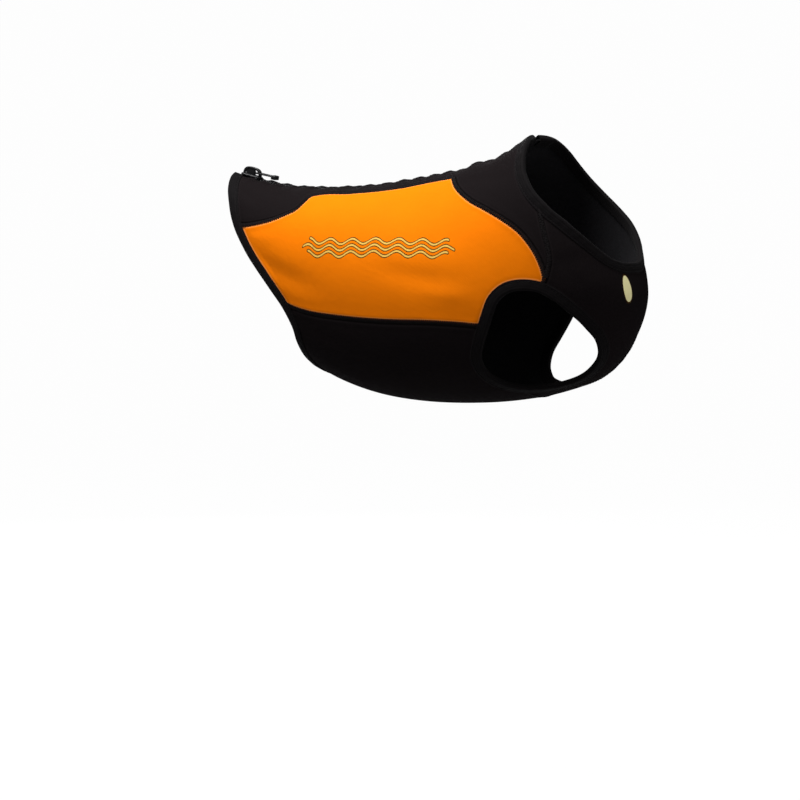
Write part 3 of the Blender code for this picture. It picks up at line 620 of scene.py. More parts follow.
grids_of = {
    "back_yoke_right": [yoke], "back_yoke_left": [yoke], "side_panel_right": [side_grid],
    "side_panel_left": [side_grid], "belly_panel": [belly], "chest_panel": [bib, strip],
}
panels, panel_areas = {}, {}
for name, grids in grids_of.items():
    side = -1 if "left" in name else 1
    panels[name], panel_areas[name] = make_panel(
        name, [grid * [1, side] for grid in grids], print_map_on(side) if "side" in name else None)

# %% [markdown]
# ## Bindings folded over the edges
# The hem, the neck and the armholes are finished with a strip of stretch tape, folded round the cut
# edge and sewn through. Its section is a narrow hook, swept along the edge. The visible leg swells
# over the foam's edge, thins towards its own free edge, and dips under its row of stitches.

# %% Building a binding
# Distances from the cut edge, heights and pitches are in millimetres
ROW_AT = 6.9
ROW_PITCH = 3.1
ROW_END_GAP = 1.5
TAPE_DROP = 1.7
TAPE_OUTER = 16.0
NECK_LAP = 2.2 * MM
LEG_RUNS = [9.0, 8.7, 8.0, 7.4, 6.9, 6.4, 5.6, 4.4, 3.2, 2.0, 0.9, 0.0]
FREE_EDGE, EDGE_RUN, EDGE_ROUNDING = 8.4, 0.6, 0.35
LEG_CLEARANCE, THINNEST = 0.12, 0.25
HIDDEN_LEG, HIDDEN_ROUNDING = 1.15, 0.25
FOLD_ANGLES = np.radians([65, 40, 15, -15, -40, -65])
FOLD_REACH, FOLD_INSIDE = 2.0, 0.5
FOLD_LIFT, INSIDE_LIFT = 1.3, 0.15


def leg_height(distance, along):
    """Height of the visible leg's face over the panel's, in millimetres."""
    row = bump_at(distance, ROW_AT, 0.9)
    pull = 0.10 * uneven_wave(along, ROW_PITCH, 2, 17) * row
    slack = 0.16 * uneven_wave(along, 11.7, 1.6, 23) * bump_at(distance, 3, 3)
    return 1.30 - 0.065 * distance - 0.38 * row + pull + slack


def beside_zip(places):
    """The places, moved out to the zip's opening where they would lie over it."""
    station, turn = places.T
    side = signed(turn)
    opening = turn_at(station, np.where(station > 0.5, ZIP_OPENING - NECK_LAP, ZIP_OPENING))
    kept = np.where(turn >= 180, 360 - opening, np.sign(side) * opening)
    return np.stack([station, np.where(np.abs(side) < opening, kept, turn)], -1)


def lifted(places, height):
    """Points over the inner face, by a height in millimetres for each place."""
    return points_at(places) + normals_at(places) * (height * MM)[:, None]


def sweep_facts(path, closed, away_from):
    """Points, normals, inward directions and their moves on the chart, lengths and headings."""
    points, normals = points_at(path), normals_at(path)
    if closed:
        forward = unit(np.roll(points, -1, axis=0) - np.roll(points, 1, axis=0))
    else:
        forward = unit(np.gradient(points, axis=0))
    inward = unit(np.cross(normals, forward))
    moves = np.stack([np.linalg.lstsq(np.stack(slopes, -1), step, rcond=None)[0]
                      for *slopes, step in zip(*slopes_at(*path.T), inward)])
    weights = np.array([1, 1 / 300])  # so that a degree counts little beside a station
    if (moves * weights * ((path - away_from) * weights)).sum() < 0:
        inward, moves = -inward, -moves
    return points, normals, inward, moves, run(points), forward


def section_of(points, length, may_drop):
    """Outer and inner sides of the folded strip, as rows of distance and height in millimetres."""
    clear = np.clip((np.abs(points[:, 1]) / MM - TAPE_OUTER - 4) / 6, 0, 1)
    drop = np.where(may_drop, TAPE_DROP * (1 - ease(clear)), 0.0)
    wall = WALL / MM
    along = length / MM
    at_edge = {distance: np.clip((distance - FREE_EDGE) / EDGE_RUN, 0, 1) ** 2 for distance in LEG_RUNS}
    outer, inner = [], []
    for distance in LEG_RUNS:
        rounding = EDGE_ROUNDING * at_edge[distance]
        top = wall + leg_height(distance, along) - rounding
        outer.append((distance, top))
        inner.append((distance, np.minimum(wall + LEG_CLEARANCE + rounding * 0.3, top - THINNEST)))
    uneven_reach = FOLD_REACH + 0.12 * np.sin(along / 4.1)
    for angle in FOLD_ANGLES:
        for side, reach, lift in ((outer, uneven_reach, FOLD_LIFT), (inner, FOLD_INSIDE, INSIDE_LIFT)):
            rise = (wall / 2 + lift + drop / 2) * np.sin(angle)
            side.append((-reach * np.cos(angle), wall / 2 - drop / 2 + rise))
    for distance in LEG_RUNS[::-1]:
        outer.append((distance, -HIDDEN_LEG - drop + HIDDEN_ROUNDING * at_edge[distance]))
        inner.append((distance, -THINNEST - drop))
    return outer + inner[::-1]


def make_binding(name, path, closed, away_from):
    """The folded strip, and the places of its stitches with their directions."""
    points, normals, inward, moves, length, forward = sweep_facts(path, closed, np.array(away_from))
    may_drop = (np.abs(signed(path[:, 1])) < 90) & (not closed)
    ring_of = []
    for distance, height in section_of(points, length, may_drop):
        distance, height = (np.broadcast_to(value, len(path)) for value in (distance, height))
        if distance[0] > 0:
            ring_of.append(lifted(beside_zip(path + moves * distance[:, None] * MM), height))
        else:
            ring_of.append(points + inward * (distance * MM)[:, None] + normals * (height * MM)[:, None])
    rings = np.stack(ring_of, 1)
    count, size = rings.shape[:2]
    index = np.arange(count * size).reshape(count, size)
    after = np.roll(index, -1, axis=0)[: count if closed else count - 1]
    now = index[: len(after)]
    faces = np.stack([now, np.roll(now, -1, 1), np.roll(after, -1, 1), after], -1).reshape(-1, 4)
    if not closed:
        low = np.arange(size // 2 - 1)
        pairs = np.stack([low, low + 1, size - 2 - low, size - 1 - low], -1)
        faces = np.concatenate([faces, pairs[:, ::-1] + index[0, 0], pairs + index[-1, 0]])
    flat_points = rings.reshape(-1, 3)
    first, second, third, fourth = flat_points[faces.T]
    if (first * (np.cross(second, third) + np.cross(third, fourth))).sum() < 0:
        faces = faces[:, ::-1]
    cloth_map = np.stack(np.meshgrid(length, run(rings[count // 2]), indexing="ij"), -1).reshape(-1, 2)
    thing = mesh_from(name + "_strip", flat_points, faces, {"cloth": cloth_map})
    steps = np.arange(ROW_END_GAP, length[-1] / MM - ROW_END_GAP, ROW_PITCH) * MM
    row, shift, heading = (read_at(steps, length, rows) for rows in (path, moves, forward))
    place = beside_zip(row + shift * ROW_AT * MM)
    stitches = lifted(place, WALL / MM + leg_height(ROW_AT, steps / MM))
    print(f"{name}: {2 * len(faces)} triangles, {length[-1] / MM:.0f} mm long, {len(steps)} stitches")
    return thing, (stitches, unit(heading), normals_at(place)), length[-1]


def finer(path, step=1.6 * MM):
    """The path in even steps of about this length."""
    return spread(path, int(run(points_at(path))[-1] / step))


half = join(lines["yoke hem"], lines["side hem"])
hem = finer(join(half, lines["belly hem"], across_belly(half)[::-1]))
lap = edge_point(NECK_EDGE, turn_at(1.0, ZIP_OPENING - NECK_LAP))
half = np.concatenate([[lap], lines["yoke neck"]])
neck = finer(join(half, lines["bib neck"], across_belly(half)[::-1]))
armhole = finer(join(lines["over arm"], lines["arm front"], lines["strip side"], lines["armpit"]))[:-1]
bindings, binding_rows, binding_lengths = {}, [], {}
for name, path, closed, away in (
    ("hem_binding", hem, False, (-10, 180)),
    ("neck_binding", neck, False, (10, 180)),
    ("armhole_binding_right", armhole, True, (0.68, 135)),
    ("armhole_binding_left", armhole * MIRROR, True, (0.68, -135)),
):
    bindings[name], row, binding_lengths[name] = make_binding(name, path, closed, away)
    binding_rows.append(row)

# %% [markdown]
# ## Stitches by Geometry Nodes
# A stitch is one small loop of thread, repeated some two thousand times, so it is drawn once in a
# node tree and set on points. Every point carries two directions, along the thread and up from the
# cloth, and the tree turns its instance to them. The inputs are named for the thread's own sizes.
# The ladder stitch of a flat seam bridges the joint; the lock stitch of a binding runs along it.

# %% Helpers for nodes, for points and for finished meshes
def add_node(tree, kind, inputs=None, **settings):
    """Adds a node. An input is a value, another node's output, or a node for its first output."""
    made = tree.nodes.new(kind)
    made.location = (190 * (len(tree.nodes) % 12), -230 * (len(tree.nodes) // 12))
    for key, value in settings.items():
        setattr(made, key, value)
    for key, value in (inputs or {}).items():
        if isinstance(value, bpy.types.Node):
            value = value.outputs[0]
        if isinstance(value, bpy.types.NodeSocket):
            tree.links.new(value, made.inputs[key])
        else:
            made.inputs[key].default_value = value
    return made


def points_with_directions(name, rows):
    """A mesh of bare points with the attributes along and up."""
    points, along, up = (np.concatenate([row[k] for row in rows]) for k in range(3))
    mesh = bpy.data.meshes.new(name)
    mesh.vertices.add(len(points))
    mesh.vertices.foreach_set("co", points.astype(np.float32).ravel())
    for label, vectors in (("along", along), ("up", up)):
        field = mesh.attributes.new(label, "FLOAT_VECTOR", "POINT")
        field.data.foreach_set("vector", vectors.astype(np.float32).ravel())
    mesh.update()
    return add_object(name, mesh)


def grow(points_object, tree, sizes, name):
    """Runs a tree on an object and keeps the result as a plain mesh object."""
    modifier = points_object.modifiers.new("grow", "NODES")
    modifier.node_group = tree
    sockets = {item.name: item.identifier for item in tree.interface.items_tree if item.in_out == "INPUT"}
    for label, value in sizes.items():
        modifier[sockets[label]] = value
    graph = bpy.context.evaluated_depsgraph_get()
    mesh = bpy.data.meshes.new_from_object(points_object.evaluated_get(graph))
    mesh.name = name
    thing = add_object(name, mesh)
    points_object.modifiers.remove(modifier)
    bpy.data.objects.remove(points_object, do_unlink=True)
    mesh.calc_loop_triangles()
    print(f"{name}: {len(mesh.loop_triangles)} triangles")
    return thing


def new_tree(name, sizes):
    """An empty geometry tree with named sizes in metres and a material, and its group input."""
    tree = bpy.data.node_groups.new(name, "GeometryNodeTree")
    tree.interface.new_socket("Geometry", in_out="INPUT", socket_type="NodeSocketGeometry")
    for label, value in sizes.items():
        socket = tree.interface.new_socket(label, in_out="INPUT", socket_type="NodeSocketFloat")
        socket.default_value = value
    tree.interface.new_socket("Material", in_out="INPUT", socket_type="NodeSocketMaterial")
    tree.interface.new_socket("Geometry", in_out="OUTPUT", socket_type="NodeSocketGeometry")
    return tree, tree.nodes.new("NodeGroupInput").outputs


def set_on_points(tree, given, shape):
    """Sets the shape on every point, turned to its directions, and ends the tree."""
    up, along = (add_node(tree, "GeometryNodeInputNamedAttribute", {"Name": label}, data_type="FLOAT_VECTOR")
                 for label in ("up", "along"))
    turned = add_node(tree, "FunctionNodeAxesToRotation", {
        "Primary Axis": up.outputs["Attribute"], "Secondary Axis": along.outputs["Attribute"]},
        primary_axis="Z", secondary_axis="X")
    copies = add_node(tree, "GeometryNodeInstanceOnPoints", {
        "Points": given["Geometry"], "Instance": shape, "Rotation": turned})
    real = add_node(tree, "GeometryNodeRealizeInstances", {"Geometry": copies})
    smooth = add_node(tree, "GeometryNodeSetShadeSmooth", {"Geometry": real})
    finish = add_node(tree, "GeometryNodeSetMaterial", {"Geometry": smooth, "Material": given["Material"]})
    add_node(tree, "NodeGroupOutput", {"Geometry": finish})


# %% The stitch tree
tree, given = new_tree("stitch", {"Length": 3.0 * MM, "Thread Radius": 0.3 * MM, "Rise": 0.5 * MM})
start, finish = (
    add_node(tree, "ShaderNodeCombineXYZ", {
        "X": add_node(tree, "ShaderNodeMath", {0: given["Length"], 1: share}, operation="MULTIPLY")})
    for share in (-0.5, 0.5))
middle = add_node(tree, "ShaderNodeCombineXYZ", {"Z": given["Rise"]})
arc = add_node(tree, "GeometryNodeCurveQuadraticBezier", {
    "Resolution": 4, "Start": start, "Middle": middle, "End": finish})
round_section = add_node(tree, "GeometryNodeCurvePrimitiveCircle", {
    "Resolution": 6, "Radius": given["Thread Radius"]})
thread = add_node(tree, "GeometryNodeCurveToMesh", {
    "Curve": arc, "Profile Curve": round_section, "Fill Caps": True})
set_on_points(tree, given, thread)
stitch_tree = tree

# %% Where the seams' ladder stitches lie
LADDER_PITCH = 1.15 * MM
ZIP_ROW_AT = 6.0 * MM
ZIP_ROW_ENDS = (0.02, 0.985)
ZIP_ROW_STITCHES = 112
THREAD_LIFT = 0.05 * MM


def ladder(path, shift, slant):
    """Stitches across a seam, moved to one side of it in millimetres, and turned a little."""
    even = spread(path, int(run(points_at(path))[-1] / LADDER_PITCH))[1:-1]
    points, normals = points_at(even), normals_at(even)
    forward = unit(np.gradient(points, axis=0))
    across = unit(np.cross(normals, forward))
    lean = np.where(np.arange(len(even)) % 2, slant, -slant)[:, None]
    return points + across * shift * MM + normals * WALL, unit(across + forward * lean), normals


ladders = [
    ladder(lines[name] * [1, side], shift * side, 0.10)
    for name, shift in (("saddle", -1.1), ("front", -1.1), ("flank", 1.1), ("shoulder", 0.0), ("notch", -1.1))
    for side in (1, -1)
]
ladders.append(ladder(lines["strip end"], 0.0, 0.25))
print("ladder stitches", sum(len(row[0]) for row in ladders))

zip_rows = []
stations = np.linspace(*ZIP_ROW_ENDS, ZIP_ROW_STITCHES)
for side in (1, -1):
    places = np.stack([stations, side * turn_at(stations, ZIP_OPENING + ZIP_ROW_AT)], -1)
    inner, up = points_at(places), normals_at(places)
    relief, folds, *_ = face_relief(*places.T, inner)
    lie = inner + up * (WALL + relief + folds + THREAD_LIFT)[:, None]
    zip_rows.append((lie, unit(np.gradient(lie, axis=0)), up))

# %% [markdown]
# ## The zip: tapes, teeth, slider and pull
# A coarse moulded zip closes the back. Its two woven tapes lie under the yokes' edges, each with a
# corded inner edge that carries the teeth. The teeth repeat, so a node tree makes them: a block is
# clamped to a smaller box and pushed out again by a radius, which rounds every edge of it.

# %% Tapes
# Reaches from the zip's centre line, and how far the face stands out there, in millimetres
TAPE_REACHES = np.array([0.7, 1.6, 2.8, 4.0, 4.8, 5.2, 5.7, 6.1, 6.4, 7.2, 8.5, 10, 12, 14, 15.5, 16])
TAPE_BEADS = np.array([-0.1, 0, 0, 0, 0.1, 0.35, 0.5, 0.35, 0.05, 0, 0, 0, 0, 0, 0, -0.1])
TAPE_LENGTH = 0.355
CORD_AT = 4.6
SLIDER_MOUTH, TEETH_MEET = 0.025, 0.050


def make_zip_tape(name, side):
    """A woven strip that runs in under the teeth, with a cord beside them."""
    spread_at_slider = ease((TEETH_MEET - zip_stations) / (TEETH_MEET - SLIDER_MOUTH))
    columns = []
    for edge_reach in TAPE_REACHES:
        reach = edge_reach + 0.75 * max(CORD_AT - edge_reach, 0) * spread_at_slider
        column = np.stack([zip_stations, turn_at(zip_stations, reach * MM)], -1)
        column[0] = edge_point(HEM_EDGE, column[0, 1])
        column[-1] = edge_point(NECK_EDGE, column[-1, 1])
        columns.append(column)
    grid = np.stack(columns, 1) * [1, side]
    points, normals = points_at(grid), normals_at(grid)
    face, back = ((points + normals * (height * MM)[None, :, None]).reshape(-1, 3)
                  for height in (TAPE_BEADS - 0.5, -1.55 - TAPE_BEADS * 0.3))
    rows, count = grid.shape[:2]
    faces, *_ = wall_of(grid_cells(rows, count), face, normals.reshape(-1, 3))
    flat = np.meshgrid(TAPE_LENGTH * zip_stations, TAPE_REACHES * MM, indexing="ij")
    flat = np.stack(flat, -1).reshape(-1, 2)
    return mesh_from(name + "_weave", np.concatenate([face, back]), faces,
                     {"cloth": np.concatenate([flat, flat])})


tapes = {name: make_zip_tape(name, side) for name, side in (("zip_tape_right", 1), ("zip_tape_left", -1))}

# %% The tooth tree
tree, given = new_tree("moulded tooth", {
    "Along": 1.3 * MM, "Across": 5.4 * MM, "Height": 3.5 * MM, "Edge Radius": 0.35 * MM})
size = add_node(tree, "ShaderNodeCombineXYZ", {
    "X": given["Across"], "Y": given["Along"], "Z": given["Height"]})
block = add_node(tree, "GeometryNodeMeshCube", {
    "Size": size, "Vertices X": 4, "Vertices Y": 4, "Vertices Z": 4})
radius = add_node(tree, "ShaderNodeCombineXYZ", dict.fromkeys("XYZ", given["Edge Radius"]))
where = add_node(tree, "GeometryNodeInputPosition")
half_size = add_node(tree, "ShaderNodeVectorMath", {0: size, "Scale": 0.5}, operation="SCALE")
core = add_node(tree, "ShaderNodeVectorMath", {0: half_size, 1: radius}, operation="SUBTRACT")
other_side = add_node(tree, "ShaderNodeVectorMath", {0: core, "Scale": -1.0}, operation="SCALE")
lower = add_node(tree, "ShaderNodeVectorMath", {0: where, 1: core}, operation="MINIMUM")
clamped = add_node(tree, "ShaderNodeVectorMath", {0: lower, 1: other_side}, operation="MAXIMUM")
away = add_node(tree, "ShaderNodeVectorMath", {0: where, 1: clamped}, operation="SUBTRACT")
heading = add_node(tree, "ShaderNodeVectorMath", {0: away}, operation="NORMALIZE")
pushed = add_node(tree, "ShaderNodeVectorMath", {
    0: heading, "Scale": given["Edge Radius"]}, operation="SCALE")
rounded = add_node(tree, "ShaderNodeVectorMath", {0: clamped, 1: pushed}, operation="ADD")
tooth = add_node(tree, "GeometryNodeSetPosition", {"Geometry": block, "Position": rounded})
set_on_points(tree, given, tooth)
tooth_tree = tree

# %% Where the teeth sit
TOOTH_PITCH = 1.52 * MM
TOOTH_SHIFT = 1.4 * MM
TOOTH_LIFT = 0.1 * MM
CHAIN_ENDS = (0.032, 0.967)
chain_path = np.linspace((CHAIN_ENDS[0], 0), (CHAIN_ENDS[1], 0), 400)
chain = spread(chain_path, int(run(points_at(chain_path))[-1] / TOOTH_PITCH))
chain_points, chain_up = points_at(chain), normals_at(chain)
across = unit(np.cross(chain_up, unit(np.gradient(chain_points, axis=0))))
alternate = np.where(np.arange(len(chain)) % 2, TOOTH_SHIFT, -TOOTH_SHIFT)[:, None]
teeth_row = (chain_points + chain_up * TOOTH_LIFT + across * alternate, across, chain_up)
print("teeth", len(chain))

# %% [markdown]
# ## Cast and moulded parts
# The slider, its pull, the stops and the retainer box are small hard parts. Each is drawn as a few
# outlines drawn out to their thickness, and every edge gets a real radius, because a cast edge
# catches a thin line of light where a sharp one would show none.

# %% Rounded prisms and their frame on the zip
def zip_frame(station):
    """Matrix of a hard piece on the zip: x along it, z up from the cloth's inner face."""
    along, _ = slopes_at(np.array(station), np.array(0.0))
    x_axis = Vector(unit(along))
    z_axis = Vector(outward(np.array(station), np.array(0.0)))
    matrix = Matrix((x_axis, z_axis.cross(x_axis), z_axis)).transposed().to_4x4()
    matrix.translation = Vector(torso(station, 0.0))
    return matrix


def rounded_prism(into, outline, low, high, axis, radius):
    """Adds an outline in millimetres, drawn out along an axis, with all its edges rounded."""
    shape = bmesh.new()
    near, far = ([shape.verts.new({"z": (a, b, level), "y": (a, level, b)}[axis]) for a, b in outline]
                 for level in (low, high))
    shape.faces.new(near)
    shape.faces.new(far[::-1])
    for k in range(len(outline)):
        after = (k + 1) % len(outline)
        shape.faces.new([near[after], near[k], far[k], far[after]])
    bmesh.ops.recalc_face_normals(shape, faces=shape.faces)
    sharp = [edge for edge in shape.edges if edge.calc_face_angle(0) > np.radians(20)]
    bmesh.ops.bevel(shape, geom=sharp, offset=radius, segments=3, profile=0.5, affect="EDGES",
                    clamp_overlap=True)
    bmesh.ops.recalc_face_normals(shape, faces=shape.faces)
    part = bpy.data.meshes.new("part")
    shape.to_mesh(part)
    into.from_mesh(part)
    shape.free()
    bpy.data.meshes.remove(part)


def hard_piece(name, matrix, shapes):
    """One object from rounded prisms, placed by its vertices, with its own origin left at zero."""
    whole = bmesh.new()
    for shape in shapes:
        rounded_prism(whole, *shape)
    bmesh.ops.scale(whole, vec=(MM, MM, MM), verts=whole.verts)
    bmesh.ops.transform(whole, matrix=matrix, verts=whole.verts)
    mesh = bpy.data.meshes.new(name)
    whole.to_mesh(mesh)
    whole.free()
    mesh.shade_smooth()
    mesh.set_sharp_from_angle(angle=np.radians(42))
    print(f"{name}: {len(mesh.polygons)} faces")
    return add_object(name, mesh)


def box_outline(x_range, y_range):
    """The four corners of a rectangle, in order."""
    (x_low, x_high), (y_low, y_high) = x_range, y_range
    return [(x_low, y_low), (x_high, y_low), (x_high, y_high), (x_low, y_high)]


def other_way_up(half):
    """The half's points reflected in the long axis, in the order that goes on round the outline."""
    return [(x, -y) for x, y in reversed(half)]


# %% Slider, pull, stops and box
# A row of a piece holds an outline, the two levels that it is drawn between, the axis it is drawn
# along and the radius of its edges, all in millimetres
SLIDER_STATION, BOX_STATION = 0.047, 0.985
HINGE = Vector((6.0, 0.0, 7.6)) * MM
PULL_TILT = np.radians(-4.0)


def plate_outline(share=1.0):
    """The slider's plate seen from above, wide at its mouth."""
    half = [(-11, 3.96), (-9.46, 6.34), (-6.82, 7.2), (-2.2, 6.7), (5.5, 5.4), (9.46, 5.08), (11, 3.35)]
    return [(share * x, share * y) for x, y in half + other_way_up(half)]


def arch(rear, front, foot, height, steps=14):
    """A flattened arch seen from the side, from its rear foot over to its front one."""
    points = []
    for angle in np.pi * (1 - np.arange(steps + 1) / steps):
        flat = np.sign(np.cos(angle)) * abs(np.cos(angle)) ** 0.7
        x = (rear + front) / 2 + (front - rear) / 2 * flat
        points.append((x, foot + (height - foot) * np.sin(angle).clip(0) ** 0.7))
    return points


slider_frame = zip_frame(SLIDER_STATION)
slider = hard_piece("zip_slider_cast", slider_frame, [
    (plate_outline(), 2.3, 4.6, "z", 0.8),
    (plate_outline(0.85), -4.4, -2.8, "z", 0.5),
    (arch(-10.6, 10.4, 4.1, 12.4) + arch(-8.4, 8.2, 4.1, 10.2)[::-1], -2.0, 2.0, "y", 0.5),
    (arch(-9.4, 3.2, 4.0, 11.4), -1.55, 1.55, "y", 0.45),
    (box_outline((-10.4, -7.4), (-1.6, 1.6)), -3.6, 3.4, "z", 0.4),
    (box_outline((-9.0, 9.4), (-5.3, -4.85)), 0.1, 3.1, "z", 0.15),
    (box_outline((-9.0, 9.4), (4.85, 5.3)), 0.1, 3.1, "z", 0.15),
    (box_outline((-8.2, -5.0), (-2.9, 2.9)), 4.2, 5.9, "z", 0.5),
    (box_outline((5.4, 9.0), (-2.9, 2.9)), 4.2, 5.4, "z", 0.4),
])
pull_frame = slider_frame @ Matrix.Translation(HINGE) @ Matrix.Rotation(PULL_TILT, 4, "Y")
side_bar = [(-0.6, 2.7), (13.0, 2.7), (19.0, 2.7), (19.0, 3.86), (6.0, 4.2), (-0.6, 4.2)]
grip = [(17.8, 3.36), (19.3, 4.2), (22.8, 4.2), (24.0, 2.94)]
circle = [(np.cos(a), np.sin(a)) for a in np.linspace(0, 2 * np.pi, 17)[:-1]]
ribs = [(box_outline((x, x + 0.7), (-3.0, 3.0)), 1.0, 1.5, "z", 0.2) for x in (19.2, 20.5, 21.8)]
pull = hard_piece("zip_pull_cast", pull_frame, [
    (side_bar, -0.8, 0.8, "z", 0.3),
    (other_way_up(side_bar), -0.8, 0.8, "z", 0.3),
    (box_outline((13.0, 19.6), (-3.4, 3.4)), -0.8, 0.8, "z", 0.3),
    (grip + other_way_up(grip), -2.9, 1.2, "z", 0.55),
    (circle, -3.78, 3.78, "y", 0.12),
] + ribs)
stops = {
    name: hard_piece(name + "_moulded", slider_frame, [
        (box_outline((-13.5, -11.5), sorted((side * 4.8, side * 7.2))), 0.0, 1.8, "z", 0.4)])
    for name, side in (("zip_stop_right", -1), ("zip_stop_left", 1))
}
retainer = hard_piece("zip_box_moulded", zip_frame(BOX_STATION), [
    (box_outline((-4.5, 4.5), (-5.6, 5.6)), 0.1, 3.7, "z", 0.7),
    (box_outline((-4.5, -2.6), (-3.6, 3.6)), 3.1, 4.0, "z", 0.4),
])

# %% [markdown]
# ## Materials
# Each finish is named for the real thing and starts from how it was made. Colours are written as
# sRGB hex, as a colour picker shows them, and one function turns them to the linear values that a
# renderer adds and multiplies. Patterns follow the cloth through its own map, in real metres.

# %% Colour and a bare material
def linear(colour):
    """Linear red, green, blue and alpha of an sRGB hex colour."""
    channels = [int(colour[k:k + 2], 16) / 255 for k in (1, 3, 5)]
    return tuple(c / 12.92 if c <= 0.04045 else ((c + 0.055) / 1.055) ** 2.4 for c in channels) + (1.0,)


def bare_material(name, colour, roughness, metallic=0.0, **other):
    """A Principled material with its constant values on the shader's own sockets."""
    material = bpy.data.materials.new(name)
    material.use_nodes = True
    material.diffuse_color = linear(colour)
    shader = material.node_tree.nodes["Principled BSDF"]
    values = {"Base Color": linear(colour), "Roughness": roughness, "Metallic": metallic, **other}
    for key, value in values.items():
        shader.inputs[key.replace("_", " ")].default_value = value
    return material, material.node_tree, shader


def feed(tree, shader, **sources):
    """Links outputs to the shader's inputs of these names."""
    for key, source in sources.items():
        tree.links.new(source, shader.inputs[key.replace("_", " ")])


def bands(pitch):
    """Scale of a Wave texture whose bands repeat at this pitch in metres."""
    return 2 * np.pi / 20 / pitch


# %% [markdown]
# ### Nylon jersey on neoprene
# The foam is faced with a knitted nylon jersey. Its courses run along the body, half a millimetre
# apart; they are drawn at 1.1 mm, because finer ones vanish at this distance. The knit has a soft
# sheen at grazing angles. Beside a seam the stretched cloth is painted a little paler, a painted
# highlight, and in the seam itself the thread and a painted shade make it dark.

# %% Jersey
COURSE_PITCH, WALE_PITCH = 1.1 * MM, 1.5 * MM
STRIP_EDGE = 6.2 * MM
# Distances in metres from the nearest seam or binding edge over which a painted highlight pales the cloth
HIGHLIGHT_FROM, HIGHLIGHT_TO = 4.7 * MM, 3.3 * MM
# Distances in metres from the nearest seam or binding edge over which painted shade darkens the seam
SEAM_SHADOW_FROM, SEAM_SHADOW_TO = 3.4 * MM, 1.5 * MM


def jersey(name, colour, sheen_and_rim_highlight, dark, seam_shade, roughness, highlight_strength):
    """Knitted cloth with painted highlight as paler rims beside its seams and painted shade in them, with its
    tree, shader and colour's output.
    """
    material, tree, shader = bare_material(name, colour, roughness, Sheen_Weight=0.02, Sheen_Roughness=0.45,
                                           Sheen_Tint=linear(sheen_and_rim_highlight), Specular_IOR_Level=0.02)
    cloth_map = add_node(tree, "ShaderNodeUVMap", uv_map="cloth")
    courses = add_node(tree, "ShaderNodeTexWave", {
        "Vector": cloth_map, "Scale": bands(COURSE_PITCH), "Distortion": 0.6, "Detail": 1.0,
        "Detail Scale": 2.0}, bands_direction="Y")
    wales = add_node(tree, "ShaderNodeTexWave", {
        "Vector": cloth_map, "Scale": bands(WALE_PITCH), "Distortion": 0.4}, bands_direction="X")
    knit = add_node(tree, "ShaderNodeMix", {
        "Factor": 0.35, "A": courses.outputs["Fac"], "B": wales.outputs["Fac"]}, data_type="FLOAT")
    wash = add_node(tree, "ShaderNodeTexNoise", {
        "Vector": cloth_map, "Scale": 38.0, "Detail": 3.0, "Roughness": 0.55})
    shade = add_node(tree, "ShaderNodeMapRange", {
        "Value": wash, "From Min": 0.3, "From Max": 0.7, "To Min": 0.10, "To Max": 0.0})
    between_courses = add_node(tree, "ShaderNodeMapRange", {"Value": knit, "To Min": 0.12, "To Max": 0.0})
    bound = add_node(tree, "ShaderNodeAttribute", attribute_name="bound")
    past_strip = add_node(tree, "ShaderNodeMath", {
        0: bound.outputs["Fac"], 1: STRIP_EDGE}, operation="SUBTRACT")
    seam = add_node(tree, "ShaderNodeAttribute", attribute_name="seam")
    nearest_line = add_node(tree, "ShaderNodeMath", {
        0: seam.outputs["Fac"], 1: past_strip}, operation="MINIMUM")
    # Painted highlight as a paler rim beside each seam and binding edge, and painted shade as a dark line in
    # it
    painted_rim_highlight, painted_seam_shadow = (
        add_node(tree, "ShaderNodeMapRange", {
            "Value": nearest_line, "From Min": far, "From Max": near, "To Max": strength},
            interpolation_type="SMOOTHSTEP")
        for far, near, strength in ((HIGHLIGHT_FROM, HIGHLIGHT_TO, highlight_strength), (SEAM_SHADOW_FROM, SEAM_SHADOW_TO, 0.9)))
    toned = linear(colour)
    for tint, share in ((dark, shade), (dark, between_courses), (sheen_and_rim_highlight, painted_rim_highlight), (seam_shade, painted_seam_shadow)):
        mixed = add_node(tree, "ShaderNodeMix", {
            6: toned, 7: linear(tint), "Factor": share}, data_type="RGBA")
        toned = mixed.outputs[2]
    rough = add_node(tree, "ShaderNodeMapRange", {
        "Value": knit, "To Min": roughness + 0.08, "To Max": roughness - 0.06})
    skin = add_node(tree, "ShaderNodeTexNoise", {"Vector": cloth_map, "Scale": 160.0, "Detail": 2.0})
    skin_bump = add_node(tree, "ShaderNodeBump", {"Height": skin, "Strength": 0.22, "Distance": 0.9 * MM})
    knit_bump = add_node(tree, "ShaderNodeBump", {
        "Height": knit, "Normal": skin_bump, "Strength": 0.35, "Distance": 0.22 * MM})
    feed(tree, shader, Base_Color=toned, Roughness=rough.outputs[0], Normal=knit_bump.outputs[0])
    return material, tree, shader, toned


# Columns: colour, sheen tint and painted highlight, darker tone, painted seam shade, roughness, strength of
# the painted highlight
BLACK = ("#161213", "#201C1D", "#0D0A0B", "#0B0808", 0.80, 0.35)
ORANGE = ("#EE7904", "#FFAE68", "#C65C02", "#2E1006", 0.78, 0.36)
black_jersey, *_ = jersey("nylon jersey on neoprene, black", *BLACK)
chest_jersey, *chest_parts = jersey("nylon jersey on neoprene, black with patch", *BLACK)
orange_jersey, *orange_parts = jersey("nylon jersey on neoprene, orange", *ORANGE)

# %% [markdown]
# ### A printed ornament
# Soft silicone ink is screen-printed over the flank: three parallel waves, pale yellow with a dark
# outline. A ping-pong of the height over the wave gives the distance to the nearest line, so one
# chain of nodes draws all three. The ink fills the knit, so it is smoother than the cloth round it.

